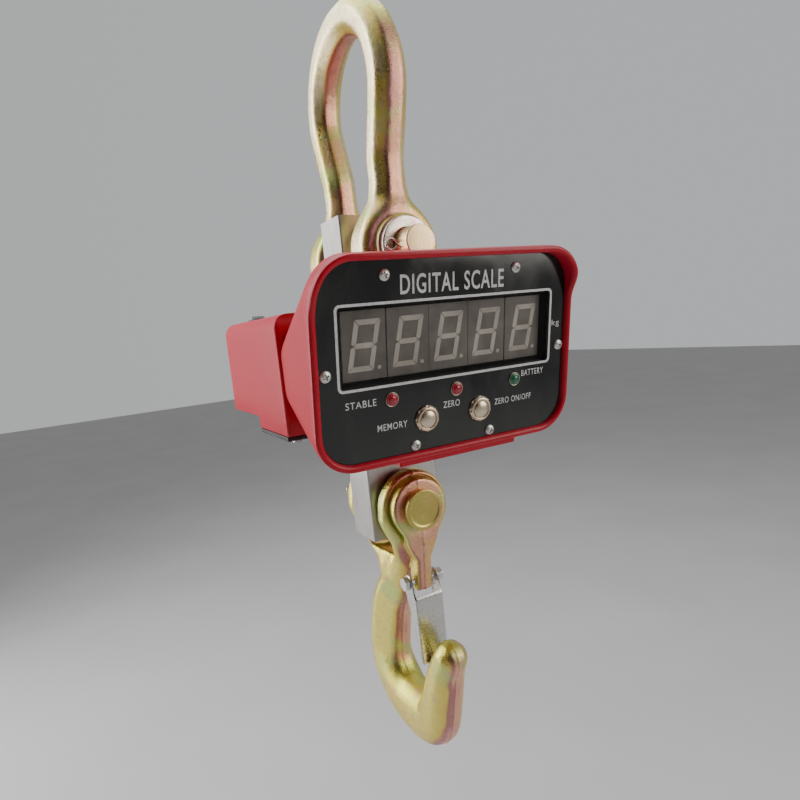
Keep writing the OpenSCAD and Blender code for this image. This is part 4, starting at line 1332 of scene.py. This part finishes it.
def make_screws(paint):
    """Cross-recessed pan heads, each turned its own way."""

    def head_field(x, y, z):
        r = np.hypot(x, z)
        ball = np.sqrt(r**2 + (y - 3.6) ** 2) - 5.6
        head = smooth_max(smooth_max(ball, r - 3.6, 0.5), y, 0.15)
        slot = 0.36 + 0.12 * np.clip(-y / 2, 0, 1)
        reach = 1.5 + 0.7 * np.clip(-y / 2, 0, 1)
        cross = np.minimum(
            np.maximum(np.abs(x) - slot, np.abs(z) - reach),
            np.maximum(np.abs(z) - slot, np.abs(x) - reach),
        )
        cross = smooth_min(cross, r - 0.75, 0.3)
        return smooth_max(head, -np.maximum(cross, y + 0.3), 0.12)

    points, faces = skin(head_field, (-4, -2.4, -4), (4, 0.4, 4), 0.2)
    faces = faces.tolist()
    shank = lathe([(1.75, -0.1), (1.75, 9.6), (1.2, 10), (0.4, 10)], 20)
    spots = [(-47.3, 51.4), (47.3, 51.4), (-86.2, -2.5), (86.2, -2.5), (-28.5, -53.9), (28.5, -53.9)]
    shapes = []
    for i, (x, up) in enumerate(spots):
        a = math.radians(17 + 47 * i)
        c, s = math.cos(a), math.sin(a)
        turned = np.stack(
            [points[:, 0] * c - points[:, 2] * s, points[:, 1], points[:, 0] * s + points[:, 2] * c],
            1
        )
        shapes.append((on_panel(turned, x, up), faces))
        shapes.append((on_panel(shank[0], x, up), shank[1]))
    points, faces = join_shapes(shapes)
    add_piece("panel_screw_heads", points, faces, "scale", paint, ["panel_screws"], sharp=50)


# ---------------------------------------------------------------- CAD nodes that stay


def repaint(node, paint, edge=0.0, segments=2):
    """A CAD node keeps its shape, with softened edges, and gets its material."""
    piece = frame["nodes"][node]
    piece.data.materials.clear()
    piece.data.materials.append(paint)
    if edge:
        weld = piece.modifiers.new("weld", "WELD")
        weld.merge_threshold = 0.00002
        soft = piece.modifiers.new("soft_edges", "BEVEL")
        soft.width = edge * MM
        soft.segments = segments
        soft.limit_method = "ANGLE"
        soft.angle_limit = math.radians(40)
        soft.harden_normals = False
        shade = piece.modifiers.new("shade", "WEIGHTED_NORMAL")
        shade.keep_sharp = False


def main():
    add_camera()
    add_world()
    add_lights()
    paints = {
        # The second argument is the painted highlight colour on the sides facing -X.
        "forging": zinc_forging("forged_zinc_plating", CREAM),
        "hook": zinc_forging("hook_zinc_plating", (0.86, 0.74, 0.16)),
        "pin_upper": zinc_turned("pin_face_salmon", (0, 0, UPPER_Z), 0.7, (0.78, 0.50, 0.38)),
        "pin_lower": zinc_turned("pin_face_olive", (0, 0, LOWER_Z), 0.75, (0.50, 0.40, 0.09)),
        "washer": zinc_iridescent("washer_zinc"),
        "steel": machined_steel("load_cell_steel"),
        "bright": plated("bright_zinc_sheet", (0.64, 0.64, 0.62), 0.2),
        "chrome": plated("bright_fastener", (0.72, 0.71, 0.68), 0.34),
        "champagne": plated("champagne_nickel", (0.74, 0.64, 0.50), 0.22, (0.92, 0.84, 0.72)),
        "red": red_enamel("red_enamel"),
        "panel": gloss_panel("gloss_black_panel"),
        "pane": smoked_pane("smoked_pane"),
        "print": white_print("white_ink"),
        "digit": digit_face("digit_epoxy"),
        "segment": segment_face("digit_segment"),
        "lamp_red": lamp_lens("red_lens", (0.16, 0.004, 0.012), (0.42, 0.012, 0.03)),
        "lamp_green": lamp_lens("green_lens", (0.004, 0.05, 0.022), (0.015, 0.16, 0.07)),
        "black": moulded("black_plastic", (0.012, 0.012, 0.013), (0.022, 0.022, 0.024)),
        "rubber": moulded("black_rubber", (0.014, 0.014, 0.014), (0.026, 0.025, 0.025), 0.6, 900),
        "board": moulded("solder_mask", (0.01, 0.09, 0.035), (0.02, 0.13, 0.05), 0.3, 300),
        "case": moulded("battery_case", (0.05, 0.055, 0.065), (0.075, 0.08, 0.09)),
        "grey": moulded("grey_jacket", (0.25, 0.26, 0.28), (0.33, 0.34, 0.35)),
        "red_wire": moulded("red_jacket", (0.38, 0.02, 0.02), (0.48, 0.03, 0.03)),
    }
    make_shackle(paints["forging"])
    make_hook(paints["hook"])
    make_pins(paints)
    make_cotter("shackle_split_pin", "shackle_cotter", UPPER_Z, "shackle", paints["bright"])
    make_cotter("hook_split_pin", "hook_cotter", LOWER_Z, "hook", paints["bright"])
    make_latch(paints["bright"])
    make_front_housing(paints["red"])
    make_rear_housing(paints["red"])
    make_panel_print(paints["print"])
    make_digits(paints)
    make_shade_shroud(paints["black"])
    make_lamps(paints)
    make_buttons(paints)
    make_screws(paints["chrome"])
    kept = {
        "steel": [("load_cell", 0.5)],
        "bright": [
            ("gauge_covers", 0), ("latch_spring", 0), ("cell_bracket_left", 0.3),
            ("cell_bracket_right", 0.3), ("battery_strap", 0.2)
        ],
        "chrome": [("latch_bolt", 0.35), ("latch_nut", 0.3), ("base_screws", 0.2), ("housing_screws", 0.2)]
        + [("bracket_screws", 0.2), ("button_nuts", 0.3), ("strap_screws", 0.2), ("socket_nut", 0.2)],
        "champagne": [("display_standoffs", 0), ("board_standoffs", 0)],
        "panel": [("front_panel", 0.15)],
        "pane": [("window", 0.1)],
        "rubber": [("top_gasket", 0.6)],
        "black": [("base_plate", 0.6), ("power_switch", 0.4), ("power_rocker", 0.4), ("charge_socket", 0.3)],
        "board": [("display_board", 0.1), ("main_board", 0.1)],
        "case": [("battery", 1.2)],
        "grey": [("display_cable", 0)],
        "red_wire": [("battery_cable", 0)],
    }
    kept["black"].append(("cell_cable", 0))
    for paint, nodes in kept.items():
        for node, edge in nodes:
            repaint(node, paints[paint], edge)
    add_floor(pale_floor("pale_floor"))


def add_floor(paint):
    depth = cad_bounds[0][2] - 0.35
    bpy.ops.mesh.primitive_plane_add(size=14, location=(0, 0, depth))
    floor = bpy.context.object
    floor.name = "floor"
    floor.data.materials.append(paint)


main()
